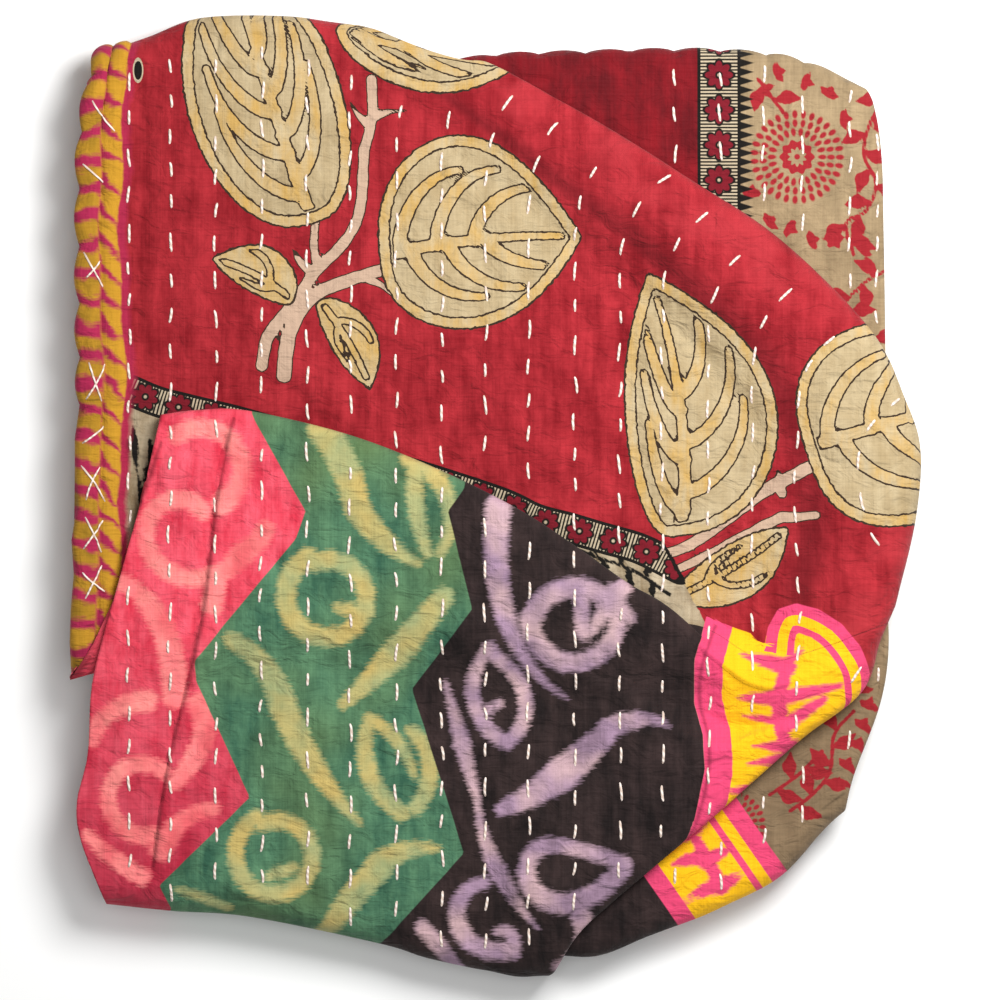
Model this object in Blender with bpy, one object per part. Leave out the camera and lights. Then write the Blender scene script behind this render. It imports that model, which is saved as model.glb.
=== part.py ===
"""A kantha quilt folded into an uneven packet, lying on a flat surface, its open side at the left.

The quilt is doubled along its right side and folded back and forth in four runs. Its last
stretch lies on top as one loose sheet: it wraps over the back of the packet, is turned under
along a slanting ridge at the right, doubles back in one wedge-shaped pleat, and hangs over the
front as a flap. Sizes are in millimetres until the mesh is made. X runs to the right, Y to the
back and Z up.
"""

import bpy
import numpy as np

MM = 0.001

# The cloth: several stitched layers of thin cotton
PLY = 1.6
AIR = 2.4
HALF = PLY / 2
PITCH = PLY + AIR
RUN = 2 * PITCH
RUNS = 4

# The packet
PACKET_TOP = RUNS * RUN - AIR
FOLD_OUTSIDE = RUN - AIR / 2
FRONT_BEND = 7.0
FOLD_FULLNESS = 0.95
FRONT_FOLD_INSET = 11.0
FRONT_DROP = 2.5
BACK_FOLD_Z = (RUNS - 1) * RUN - AIR / 2
LAST_RUN_Z = BACK_FOLD_Z + RUN / 2

# The loose top sheet
LAY = 1.2
REST = PACKET_TOP + LAY + HALF
STEP = 3.4
WRAP_RADIUS = REST - BACK_FOLD_Z
WRAP_TURN = 158.0
WRAP_SINK = 3.1
FRONT_Z = LAST_RUN_Z - FRONT_BEND
FRONT_RADIUS = REST - FRONT_Z
FRONT_HEM_Z = 4.5
PLEAT_DEPTH = 138.0
PLEAT_END = 0.80
PLEAT_RADIUS = 1.7
ROLL_RADIUS = (3.4, 5.0)
PLAIN_WIDTH = 16.0
RIDGE_SPREAD = 34.0

# Corners that are pulled in and so made rounder: place, pull, and how far round it that reaches
BACK_CORNER = (192, 208, -2, -5, 55)
FRONT_CORNER = (196, -171, -18, 13, 105)
FLAP_CORNER = (37, -241, -3, 5, 45)

# How the whole pile sags and swells
EDGE_SAG = 0.06
SAG_WIDTH = 60.0
FLAT_BELOW = PLY
SWELL = 0.04

# Outlines seen from above, each point an (x, y) pair, from the left or the back onwards
PACKET_BACK = [
    (-196, 212), (-170, 226.5), (-145, 235.7), (-105, 236.7), (-80, 233.2), (-45, 223.2),
    (-20, 219.2), (5, 222), (50, 223.5), (100, 224.5), (132, 223), (165, 218.5), (192, 208),
]
PACKET_RIGHT = [
    (192, 208), (196, 185), (197, 140), (198, 77), (199, -50), (202, -116), (196, -171),
]
PACKET_FRONT = [
    (-190, -196), (-159, -199), (-120, -202), (-55, -215), (-30, -222), (5, -229), (35, -231),
    (55, -231), (80, -221), (117, -208), (159, -197), (196, -171),
]
LOWER_RIGHT = [
    (192, 208), (196, 185), (197, 140), (197, 77), (193, -50), (185, -110), (177, -153),
]
LOWER_FRONT = PACKET_FRONT[:7] + [(55, -229), (80, -216), (110, -199), (143, -180), (177, -153)]
PACKET_LEFT = [(-196, 212), (-201, 190), (-202, 100), (-202, -80), (-199, -160), (-190, -196)]

SHEET_BACK = [
    (-197, 215.5), (-190, 222.5), (-170, 230), (-145, 239), (-105, 240), (-80, 236.5),
    (-45, 226.5), (-20, 222.5),
]
HEM = [(-197, 215.5), (-203.5, 200), (-207, 172), (-207.5, 110), (-207, 45)]
RIDGE = [
    (-20, 222.5), (5, 213.5), (35, 197.5), (65, 180), (100, 157.5), (145, 127.5), (190, 82.5),
    (207.5, 47.5), (215, 22.5), (212.5, -12.5), (202.5, -55),
]
ROLL = [
    (-165, 40), (-145, 42.5), (-120, 42), (-70, 30), (-25, 12.5), (15, -7.5), (45, -27),
    (75, -47.5), (105, -58.5), (137.5, -76), (165, -70), (202.5, -55),
]
FLAP_LEFT = [
    (-165, 40), (-175, -2.5), (-186, -42.5), (-199, -92), (-202, -130), (-207.5, -154),
    (-205, -174.5), (-192.5, -205),
]
FLAP_RIGHT = [
    (202.5, -55), (195, -72.5), (186, -97.5), (155, -122.5), (112.5, -160), (80, -187.5),
    (52, -213), (37, -241),
]
FLAP_FRONT = [
    (-192.5, -205), (-159, -208.5), (-120, -211.5), (-55, -225), (-30, -232.5), (5, -239),
    (37, -241),
]

# The turned-under right side of the sheet, a row for each place along it: share of the way down
# (0 to 1 on the upper part, 1 to 2 on the flap), radius of the turn, width turned under
TURN_UNDER = np.array([
    (0.00, 1.8, 7.0),
    (0.12, 3.6, 16.0),
    (0.30, 7.0, 42.0),
    (0.55, 8.5, 56.0),
    (0.80, 10.5, 52.0),
    (1.00, 9.5, 30.0),
    (1.15, 6.5, 18.0),
    (1.40, 4.6, 16.0),
    (2.00, 2.4, 9.0),
])

# How far each run of the packet stays inside the outline: left edge, right fold
RUN_INSET = np.array([(6.0, 4.5), (3.0, 1.5), (7.0, 3.0), (4.0, 0.0)])


def smooth(x):
    x = np.clip(x, 0.0, 1.0)
    return x * x * (3 - 2 * x)


class Line:
    """A smooth line through a few points, read by its share of length from 0 to 1."""

    def __init__(self, points, dense=24):
        p = np.array(points, float)
        ends = np.vstack([2 * p[0] - p[1], p, 2 * p[-1] - p[-2]])
        t = np.linspace(0, 1, dense, endpoint=False)[:, None]
        spans = [
            b + 0.5 * ((c - a) * t + (2 * a - 5 * b + 4 * c - d) * t**2 + (3 * b - a - 3 * c + d) * t**3)
            for a, b, c, d in zip(ends, ends[1:], ends[2:], ends[3:])
        ]
        self.points = np.vstack(spans + [p[-1:]])
        step = np.linalg.norm(np.diff(self.points, axis=0), axis=1)
        self.share = np.concatenate([[0], np.cumsum(step)]) / step.sum()

    def __call__(self, u):
        """The point at share u; past either end the line runs straight on."""
        inside = np.clip(u, 0, 1)
        at = np.stack([np.interp(inside, self.share, self.points[:, k]) for k in (0, 1)], -1)
        first = (self.points[1] - self.points[0]) / self.share[1]
        last = (self.points[-1] - self.points[-2]) / (1 - self.share[-2])
        past = np.asarray(u - inside)[..., None]
        return at + np.where(past < 0, past * first, past * last)


class Patch:
    """A plan filled in between four outlines: s runs from left to right, t from back to front."""

    def __init__(self, back, front, left, right, corners=()):
        self.back, self.front, self.left, self.right = map(Line, (back, front, left, right))
        self.corners = corners

    def __call__(self, s, t):
        s, t = np.broadcast_arrays(np.asarray(s, float), np.asarray(t, float))
        a, b = s[..., None], t[..., None]
        sides = (1 - b) * self.back(s) + b * self.front(s) + (1 - a) * self.left(t) + a * self.right(t)
        corners = (1 - b) * ((1 - a) * self.back(0.0) + a * self.back(1.0))
        corners = corners + b * ((1 - a) * self.front(0.0) + a * self.front(1.0))
        plan = sides - corners
        pull = np.zeros_like(plan)
        for corner_x, corner_y, pull_x, pull_y, reach in self.corners:
            away = np.hypot(plan[..., 0] - corner_x, plan[..., 1] - corner_y)
            pull += (1 - smooth(away / reach))[..., None] * (pull_x, pull_y)
        return plan + pull

    def pace(self, place, side, across):
        """Millimetres per unit of s at (side, place), or of t at (place, side), square to that side.

        It is read at a few places along the side, so that it changes gently.
        """
        d = 0.03
        far = side * (1 - d)
        at = np.linspace(0.06, 0.94, 12)
        s0, t0 = (np.full_like(at, far), at) if across else (at, np.full_like(at, far))
        ds = (self(s0 + d, t0) - self(s0, t0)) / d
        dt = (self(s0, t0 + d) - self(s0, t0)) / d
        area = np.abs(ds[..., 0] * dt[..., 1] - ds[..., 1] * dt[..., 0])
        return np.interp(place, at, area / np.linalg.norm(dt if across else ds, axis=-1))


def settled(points):
    """Sags the pile towards its edges and lets it swell unevenly, most at the top."""
    x, y, z = points[..., 0], points[..., 1], points[..., 2]
    from_side = 200 - np.abs(x)
    from_end = 232 - np.abs(y)
    edge = 1 - smooth(np.minimum(from_side, from_end) / SAG_WIDTH)
    waves = np.sin(x / 61 + 0.7) * np.cos(y / 83 - 0.4) + 0.6 * np.sin(x / 37 - y / 52 + 1.9)
    factor = 1 - EDGE_SAG * edge + SWELL * waves
    overhang = smooth((x - 186) / 34) * smooth((z - 22) / 12)
    out = points.copy()
    out[..., 2] = z + np.maximum(z - FLAT_BELOW, 0) * (factor - 1) - 3.0 * overhang
    return out


def unit(vectors):
    return vectors / np.linalg.norm(vectors, axis=-1, keepdims=True)


def spaced(count, ease=0.35):
    """Shares from 0 to 1, closer together towards both ends."""
    u = np.linspace(0, 1, count)
    return (1 - ease) * u + ease * (1 - np.cos(np.pi * u)) / 2


def shell(mid, half):
    """A closed sheet round a grid of middle points, half as thick on each side as half says."""
    along = np.gradient(mid, axis=0)
    down = np.gradient(mid, axis=1)
    offset = unit(np.cross(along, -down)) * np.broadcast_to(half, mid.shape[:2])[..., None]
    points = np.concatenate([(mid + offset).reshape(-1, 3), (mid - offset).reshape(-1, 3)])
    rows, cols = mid.shape[:2]
    number = np.arange(rows * cols).reshape(rows, cols)
    under = number + rows * cols
    faces = []
    for grid, turn in ((number, 1), (under, -1)):
        quads = np.stack([grid[:-1, :-1], grid[:-1, 1:], grid[1:, 1:], grid[1:, :-1]], -1)
        faces.append(quads.reshape(-1, 4)[:, ::turn])
    for edge, turn in ((np.s_[0, :], 1), (np.s_[-1, :], -1), (np.s_[:, 0], -1), (np.s_[:, -1], 1)):
        a, b = number[edge], under[edge]
        faces.append(np.stack([a[:-1], b[:-1], b[1:], a[1:]], -1)[:, ::turn])
    return points, np.concatenate(faces)


def packet_path(per_run, per_fold):
    """The doubled quilt's way back and forth, as (kind, value, z, run) rows.

    A row of kind 0 lies at a share of the way from back to front, kind 1 at a distance inside the
    back outline and kind 2 at a distance inside the front one.
    """
    rows = []
    back, front = (1, FOLD_OUTSIDE), (2, FOLD_OUTSIDE + FRONT_FOLD_INSET)
    for run in range(RUNS):
        z = (run + 0.5) * RUN - AIR / 2
        forward = run % 2 == 1
        shares = spaced(per_run, 0.5)[1:-1]
        rows += [(0, share, z, run) for share in (shares if forward else shares[::-1])]
        if run == RUNS - 1:
            break
        kind, centre = front if forward else back
        for angle in np.linspace(0, np.pi, per_fold + 1):
            height = z + RUN / 2 * (1 - np.cos(angle))
            rows.append((kind, centre - FOLD_FULLNESS * RUN / 2 * np.sin(angle), height, run + angle / np.pi))
    outside = FRONT_BEND + PITCH / 2 + HALF
    for angle in np.linspace(0, np.pi / 2, per_fold // 2 + 2):
        height = LAST_RUN_Z - FRONT_BEND * (1 - np.cos(angle))
        rows.append((2, outside - FRONT_BEND * np.sin(angle), height, RUNS - 1))
    rows.append((2, outside - FRONT_BEND + 0.4, LAST_RUN_Z - FRONT_BEND - FRONT_DROP, RUNS - 1))
    return rows


def packet(columns, per_run, per_fold, per_turn):
    """Middle points of the doubled quilt, folded back and forth in four runs.

    Its two layers lie either side of one folded surface and meet in a round turn at the right.
    """
    lower = Patch(PACKET_BACK, LOWER_FRONT, PACKET_LEFT, LOWER_RIGHT, [BACK_CORNER])
    top = Patch(PACKET_BACK, PACKET_FRONT, PACKET_LEFT, PACKET_RIGHT, [BACK_CORNER, FRONT_CORNER])
    radius = PITCH / 2
    shares = spaced(columns)
    core = []
    for kind, value, z, run in packet_path(per_run, per_fold):
        inset_left, inset_right = (np.interp(run, range(RUNS), RUN_INSET[:, k]) for k in (0, 1))
        t_near = {0: value, 1: 0.0, 2: 1.0}[kind]
        patch = lower if run <= RUNS - 2 else top
        start = (HALF + inset_left) / patch.pace(t_near, 0.0, True)
        end = 1 - (HALF + inset_right + radius) / patch.pace(t_near, 1.0, True)
        s = start + (end - start) * shares
        pace = patch.pace(s, t_near, False)
        t = {0: value + 0 * s, 1: value / pace, 2: 1 - value / pace}[kind]
        core.append(np.column_stack([patch(s, t), np.full_like(s, z)]))
    core = settled(np.array(core))
    normal = unit(np.cross(np.gradient(core, axis=0), np.gradient(core, axis=1)))
    edge, up = core[:, -1], normal[:, -1]
    out = unit(np.cross(up, np.gradient(edge, axis=0)))
    turn = [edge + radius * (out * np.sin(a) + up * np.cos(a))
            for a in np.linspace(0, np.pi, per_turn + 1)[1:-1]]
    over, below = core + radius * normal, core - radius * normal
    return np.concatenate([over, np.stack(turn, 1), below[:, ::-1]], 1)


class Sheet:
    """The loose top sheet, with the plans of its upper part and of its flap."""

    def __init__(self):
        upper_roll = [(-207, 45), (-180, 43)] + ROLL[1:]
        self.upper = Patch(SHEET_BACK, upper_roll, HEM, RIDGE)
        self.flap = Patch(ROLL, FLAP_FRONT, FLAP_LEFT, FLAP_RIGHT, [FLAP_CORNER])

    def depth(self, s):
        """How far the pleat reaches under the flap."""
        return PLEAT_DEPTH * np.clip(1 - s / (PLEAT_END + 0.02), 0, 1)

    def roll(self, s):
        """Radius of the flap's rolled edge, fuller towards the right."""
        return ROLL_RADIUS[0] + (ROLL_RADIUS[1] - ROLL_RADIUS[0]) * np.clip(s / PLEAT_END, 0, 1)

    def folding(self, s):
        """How much of the pleat's doubling back is left, and how much of its lift."""
        back = 1 - smooth((s - PLEAT_END + 0.14) / 0.12)
        lift = 1 - smooth((s - PLEAT_END + 0.05) / 0.18)
        return back, lift

    def side_lift(self, from_ridge, t):
        """Height of the sheet over its turned-under side."""
        radius, width = self.turn_under(t)
        on_leg = 1 - smooth((from_ridge - width - 3) / 26)
        puff = np.exp(-((np.maximum(from_ridge - radius, 0) / RIDGE_SPREAD) ** 2))
        return STEP * on_leg + (2 * radius - STEP) * puff

    def turn_under(self, t):
        return (np.interp(t, TURN_UNDER[:, 0], TURN_UNDER[:, k]) for k in (1, 2))

    def flap_lift(self, s, from_roll):
        """Height of the flap over the pleat under it and behind its rolled edge."""
        _, lift = self.folding(s)
        level = 2 * STEP * (1 - smooth((from_roll - self.depth(s) - 2) / 34))
        puff = np.exp(-((np.maximum(from_roll - self.roll(s), 0) / 30) ** 2))
        return lift * (level + (2 * self.roll(s) - STEP) * puff)

    def across(self, t, shares, per_turn, per_leg):
        """The sheet's section at one place: s, height factor and from_ridge, left edge to inner end.

        The height factor is 1 on the upper side, falls round the turn and is 0 on the leg.
        """
        patch, local = (self.upper, t) if t < 1 else (self.flap, t - 1)
        reach = patch.pace(local, 1.0, True)
        radius, width = self.turn_under(t)
        end = 1 - (HALF + radius) / reach
        start = HALF / patch.pace(local, 0.0, True)
        turns = np.linspace(0, np.pi, per_turn + 1)[1:]
        legs = np.linspace(radius, max(width, radius + 3), per_leg + 1)[1:]
        s = np.concatenate([
            start + (end - start) * shares,
            end + radius * np.sin(turns) / reach,
            1 - (HALF + legs) / reach,
        ])
        factor = np.concatenate([np.ones_like(shares), (1 + np.cos(turns)) / 2, np.zeros_like(legs)])
        return s, factor, (1 - s) * reach - HALF

    def grid(self, columns, per_wrap, per_upper, per_pleat, per_flap, per_turn, per_leg):
        shares = spaced(columns, 0.25)
        rows = []

        def lay(t, place):
            s, factor, from_ridge = self.across(t, shares, per_turn, per_leg)
            rows.append(place(s, factor, self.side_lift(from_ridge, t)))

        for angle in np.radians(np.linspace(WRAP_TURN, 0, per_wrap + 1)):
            lay(0.0, lambda s, f, h: self.wrapped(s, f * h, angle))
        for share in spaced(per_upper + 1)[1:-1]:
            lay(share, lambda s, f, h: self.on_upper(s, share, f * h))
        for step in range(4 * per_pleat + 1):
            lay(1.0, lambda s, f, h: self.pleated(s, f, h, step / per_pleat))
        for share in spaced(per_flap + 1)[1:-1]:
            lay(1 + share, lambda s, f, h: self.on_flap(s, share, f, h))
        for angle in np.linspace(0, np.pi / 2, per_wrap):
            lay(2.0, lambda s, f, h: self.hung(s, f * h, angle, 0.0))
        for drop in (0.5, 1.0):
            lay(2.0, lambda s, f, h: self.hung(s, f * h, np.pi / 2, drop))
        return np.array(rows)

    def wrapped(self, s, height, angle):
        """Round the back of the packet, with the end sunk into the fold that it belongs to."""
        angle = angle * (1 - 0.85 * smooth((s - 0.70) / 0.26))
        sink = WRAP_SINK * smooth((angle - np.radians(WRAP_TURN - 45)) / np.radians(45))
        radius = WRAP_RADIUS + height - sink
        inward = HALF + WRAP_RADIUS - radius * np.sin(angle)
        t = inward / self.upper.pace(s, 0.0, False)
        return np.column_stack([self.upper(s, t), BACK_FOLD_Z + radius * np.cos(angle)])

    def on_upper(self, s, share, height):
        first = (HALF + WRAP_RADIUS) / self.upper.pace(s, 0.0, False)
        t = first + (1 - first) * share
        return np.column_stack([self.upper(s, t), REST + height])

    def on_flap(self, s, share, factor, height):
        first = self.flap_start(s, factor)
        last = 1 - (HALF + FRONT_RADIUS) / self.flap.pace(s, 1.0, False)
        t = first + (last - first) * share
        plan = self.flap(s, t)
        lift = self.flap_lift(s, t * self.flap.pace(s, 0.0, False))
        return np.column_stack([plan, REST + factor * (height + lift)])

    def flap_start(self, s, factor):
        back = factor * self.folding(s)[0]
        from_roll = back * (HALF + self.roll(s)) + (1 - back) * PLAIN_WIDTH
        return from_roll / self.flap.pace(s, 0.0, False)

    def hung(self, s, height, angle, drop):
        """Over the front edge and down to the hem."""
        radius = FRONT_RADIUS + height
        inward = HALF + FRONT_RADIUS - radius * np.sin(angle) + 1.5 * drop
        t = 1 - inward / self.flap.pace(s, 1.0, False)
        z = FRONT_Z + radius * np.cos(angle) - drop * (FRONT_Z - FRONT_HEM_Z)
        return np.column_stack([self.flap(s, t), z])

    def pleated(self, s, factor, side, place):
        """place runs 0..1 along the hidden upper part, 1..2 round the inner fold, 2..3 back under
        the flap and 3..4 round the rolled edge; where the pleat has run out, straight on."""
        back, lift = self.folding(s)
        pace = self.flap.pace(s, 0.0, False)
        depth = self.depth(s)
        roll = self.roll(s)
        roll_line = self.flap(s, (HALF + roll) / pace)
        inner = self.upper(s, 1.0) - np.column_stack([4 * (1 - s) ** 6, depth])
        reach = np.maximum(depth - PLEAT_RADIUS - HALF, 1e-3)
        along = (inner - self.upper(s, 1.0)) / np.maximum(depth, 1e-3)[:, None]
        turn = self.upper(s, 1.0) + along * reach[:, None]
        if place <= 1:
            folded = self.upper(s, 1.0) + along * (reach * place)[:, None]
            height = np.zeros_like(s)
        elif place <= 2:
            angle = np.pi * (place - 1)
            folded = turn + along * PLEAT_RADIUS * np.sin(angle)
            height = np.full_like(s, PLEAT_RADIUS * (1 - np.cos(angle)))
        elif place <= 3:
            share = place - 2
            bow = 14 * 4 * share * (1 - share) * np.clip(1 - s / 0.3, 0, 1)
            folded = turn + (roll_line - turn) * share + np.column_stack([bow, 0 * bow])
            height = np.full_like(s, 2 * PLEAT_RADIUS)
        else:
            angle = np.pi * (place - 3)
            folded = self.flap(s, (HALF + roll * (1 - np.sin(angle))) / pace)
            height = 2 * PLEAT_RADIUS + roll * (1 - np.cos(angle))
        back = back * factor
        straight = self.flap(s, PLAIN_WIDTH * place / 4 / pace)
        plan = back[:, None] * folded + (1 - back)[:, None] * straight
        top = 2 * PLEAT_RADIUS + 2 * roll
        height = lift * (back * height + (1 - back) * top * place / 4)
        return np.column_stack([plan, REST + factor * (side + height)])


def add_sheet(name, mid, origin):
    """One object: a closed sheet round its middle points, measured from the origin."""
    points, faces = shell(mid - origin, HALF)
    mesh = bpy.data.meshes.new(name)
    mesh.from_pydata((points * MM).tolist(), [], faces.tolist())
    mesh.shade_smooth()
    mesh.set_sharp_from_angle(angle=np.radians(50))
    item = bpy.data.objects.new(name, mesh)
    bpy.context.collection.objects.link(item)
    return item


def cotton():
    material = bpy.data.materials.new("old_cotton")
    material.use_nodes = True
    shader = material.node_tree.nodes["Principled BSDF"]
    shader.inputs["Base Color"].default_value = (0.36, 0.045, 0.05, 1)
    shader.inputs["Roughness"].default_value = 0.9
    shader.inputs["Metallic"].default_value = 0.0
    return material


def main():
    for item in list(bpy.data.objects):
        bpy.data.objects.remove(item)
    folded = packet(columns=10, per_run=9, per_fold=6, per_turn=5)
    loose = settled(Sheet().grid(columns=17, per_wrap=6, per_upper=12, per_pleat=4, per_flap=16,
                                 per_turn=6, per_leg=4))
    everything = np.concatenate([folded.reshape(-1, 3), loose.reshape(-1, 3)])
    origin = (everything.min(0) + everything.max(0)) / 2 * (1, 1, 0)
    quilt = add_sheet("quilt", folded, origin)
    quilt.data.materials.append(cotton())
    top_sheet = add_sheet("top_sheet", loose, origin)
    top_sheet.hide_render = True
    top_sheet.display_type = "WIRE"
    one_cloth = quilt.modifiers.new("one_cloth", "BOOLEAN")
    one_cloth.operation = "UNION"
    one_cloth.solver = "EXACT"
    one_cloth.object = top_sheet


main()
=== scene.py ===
"""A kantha quilt of old sari cotton, folded into an uneven packet, dressed on its fixed frame.

The cloth follows the same folds as the solid: a doubled quilt folded back and forth in four runs,
and its last stretch as one loose sheet on top, which wraps over the back, is turned under along a
slanting ridge, doubles back in a wedge-shaped pleat and hangs over the front as a flap. Sizes are
in millimetres until a mesh is made. X runs to the right, Y to the back and Z up.
"""

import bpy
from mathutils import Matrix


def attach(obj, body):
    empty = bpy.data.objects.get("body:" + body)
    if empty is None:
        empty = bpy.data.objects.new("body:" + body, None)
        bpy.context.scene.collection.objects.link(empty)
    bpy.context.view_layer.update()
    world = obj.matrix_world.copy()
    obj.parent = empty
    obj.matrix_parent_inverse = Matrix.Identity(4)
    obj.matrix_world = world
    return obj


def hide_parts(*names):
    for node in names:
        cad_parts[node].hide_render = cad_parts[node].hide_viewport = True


bl_info = {
    "name": "Kantha Quilt",
    "version": (1, 0, 0),
    "blender": (4, 5, 0),
    "location": "3D Viewport > Sidebar > Quilt",
    "description": "Folds a patchwork kantha quilt of printed and ikat cotton and sews it",
    "category": "Add Mesh",
}

import bpy
import numpy as np
from mathutils import Vector
from mathutils.bvhtree import BVHTree

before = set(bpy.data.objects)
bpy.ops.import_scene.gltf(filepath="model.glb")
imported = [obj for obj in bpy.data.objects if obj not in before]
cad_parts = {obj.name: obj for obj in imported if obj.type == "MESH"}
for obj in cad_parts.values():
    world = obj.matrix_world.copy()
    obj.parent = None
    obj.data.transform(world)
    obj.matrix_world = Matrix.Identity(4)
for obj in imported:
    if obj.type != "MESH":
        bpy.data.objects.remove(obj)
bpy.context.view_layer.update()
MM = 0.001

# The cloth: several stitched layers of thin cotton
PLY = 1.6
AIR = 2.4
HALF = PLY / 2
PITCH = PLY + AIR
RUN = 2 * PITCH
RUNS = 4

# The packet; its rows between two folds start and end a little inside the outline
PACKET_TOP = RUNS * RUN - AIR
FIRST_SHARE = 0.02
LAST_SHARE = 0.97
FOLD_OUTSIDE = RUN - AIR / 2
FRONT_BEND = 7.0
FOLD_FULLNESS = 0.95
FRONT_FOLD_INSET = 11.0
FRONT_DROP = 2.5
BACK_FOLD_Z = (RUNS - 1) * RUN - AIR / 2
LAST_RUN_Z = BACK_FOLD_Z + RUN / 2

# The loose top sheet
LAY = 1.2
REST = PACKET_TOP + LAY + HALF
STEP = 3.4
WRAP_RADIUS = REST - BACK_FOLD_Z
WRAP_TURN = 158.0
WRAP_SINK = 3.1
FRONT_Z = LAST_RUN_Z - FRONT_BEND
FRONT_RADIUS = REST - FRONT_Z
FRONT_HEM_Z = 4.5
PLEAT_DEPTH = 138.0
PLEAT_END = 0.80
PLEAT_RADIUS = 1.7
ROLL_RADIUS = (3.4, 5.0)
PLAIN_WIDTH = 16.0
RIDGE_SPREAD = 34.0

# Corners that are pulled in and so made rounder: place, pull, and how far round it that reaches
BACK_CORNER = (192, 208, -2, -5, 55)
FRONT_CORNER = (196, -171, -18, 13, 105)
FLAP_CORNER = (37, -241, -3, 5, 45)

# How the whole pile sags towards its edges and swells; the ridge also droops where it overhangs
PILE_HALF_SIZE = (200.0, 232.0)
EDGE_SAG = 0.06
SAG_WIDTH = 60.0
FLAT_BELOW = PLY
SWELL = 0.04
RIDGE_DROOP = 3.0

# Outlines seen from above, each point an (x, y) pair, from the left or the back onwards
PACKET_BACK = [
    (-196, 212), (-170, 226.5), (-145, 235.7), (-105, 236.7), (-80, 233.2), (-45, 223.2),
    (-20, 219.2), (5, 222), (50, 223.5), (100, 224.5), (132, 223), (165, 218.5), (192, 208),
]
PACKET_RIGHT = [
    (192, 208), (196, 185), (197, 140), (198, 77), (199, -50), (202, -116), (196, -171),
]
PACKET_FRONT = [
    (-190, -196), (-159, -199), (-120, -202), (-55, -215), (-30, -222), (5, -229), (35, -231),
    (55, -231), (80, -221), (117, -208), (159, -197), (196, -171),
]
LOWER_RIGHT = [
    (192, 208), (196, 185), (197, 140), (197, 77), (193, -50), (185, -110), (177, -153),
]
LOWER_FRONT = PACKET_FRONT[:7] + [(55, -229), (80, -216), (110, -199), (143, -180), (177, -153)]
PACKET_LEFT = [(-196, 212), (-201, 190), (-202, 100), (-202, -80), (-199, -160), (-190, -196)]

SHEET_BACK = [
    (-197, 215.5), (-190, 222.5), (-170, 230), (-145, 239), (-105, 240), (-80, 236.5),
    (-45, 226.5), (-20, 222.5),
]
HEM = [(-197, 215.5), (-203.5, 200), (-207, 172), (-207.5, 110), (-207, 45)]
RIDGE = [
    (-20, 222.5), (5, 213.5), (35, 197.5), (65, 180), (100, 157.5), (145, 127.5), (190, 82.5),
    (207.5, 47.5), (215, 22.5), (212.5, -12.5), (202.5, -55),
]
ROLL = [
    (-165, 40), (-145, 42.5), (-120, 42), (-70, 30), (-25, 12.5), (15, -7.5), (45, -27),
    (75, -47.5), (105, -58.5), (137.5, -76), (165, -70), (202.5, -55),
]
FLAP_LEFT = [
    (-165, 40), (-175, -2.5), (-186, -42.5), (-199, -92), (-202, -130), (-207.5, -154),
    (-205, -174.5), (-192.5, -205),
]
FLAP_RIGHT = [
    (202.5, -55), (195, -72.5), (186, -97.5), (155, -122.5), (112.5, -160), (80, -187.5),
    (52, -213), (37, -241),
]
FLAP_FRONT = [
    (-192.5, -205), (-159, -208.5), (-120, -211.5), (-55, -225), (-30, -232.5), (5, -239),
    (37, -241),
]

# The turned-under right side of the sheet, a row for each place along it: share of the way down
# (0 to 1 on the upper part, 1 to 2 on the flap), radius of the turn, width turned under
TURN_UNDER = np.array([
    (0.00, 1.8, 7.0), (0.12, 3.6, 16.0), (0.30, 7.0, 42.0), (0.55, 8.5, 56.0), (0.80, 10.5, 52.0),
    (1.00, 9.5, 30.0), (1.15, 6.5, 18.0), (1.40, 4.6, 16.0), (2.00, 2.4, 9.0),
])

# How far each run of the packet stays inside the outline: left edge, right fold
RUN_INSET = np.array([(6.0, 4.5), (3.0, 1.5), (7.0, 3.0), (4.0, 0.0)])

# What the place of a row of the packet is measured from
BY_SHARE, FROM_BACK, FROM_FRONT = range(3)


def smooth(x):
    """Eases from 0 to 1 as x does, and stays there."""
    x = np.clip(x, 0.0, 1.0)
    return x * x * (3 - 2 * x)


class Line:
    """A smooth line through a few points, read by its share of length from 0 to 1."""

    def __init__(self, points, dense=24):
        p = np.array(points, float)
        ends = np.vstack([2 * p[0] - p[1], p, 2 * p[-1] - p[-2]])
        t = np.linspace(0, 1, dense, endpoint=False)[:, None]
        spans = [
            b + 0.5 * ((c - a) * t + (2 * a - 5 * b + 4 * c - d) * t**2
                       + (3 * b - a - 3 * c + d) * t**3)
            for a, b, c, d in zip(ends, ends[1:], ends[2:], ends[3:])
        ]
        self.points = np.vstack(spans + [p[-1:]])
        step = np.linalg.norm(np.diff(self.points, axis=0), axis=1)
        self.share = np.concatenate([[0], np.cumsum(step)]) / step.sum()

    def __call__(self, u):
        """The point at share u; past either end the line runs straight on."""
        inside = np.clip(u, 0, 1)
        at = np.stack([np.interp(inside, self.share, self.points[:, k]) for k in (0, 1)], -1)
        first = (self.points[1] - self.points[0]) / self.share[1]
        last = (self.points[-1] - self.points[-2]) / (1 - self.share[-2])
        past = np.asarray(u - inside)[..., None]
        return at + np.where(past < 0, past * first, past * last)


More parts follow.
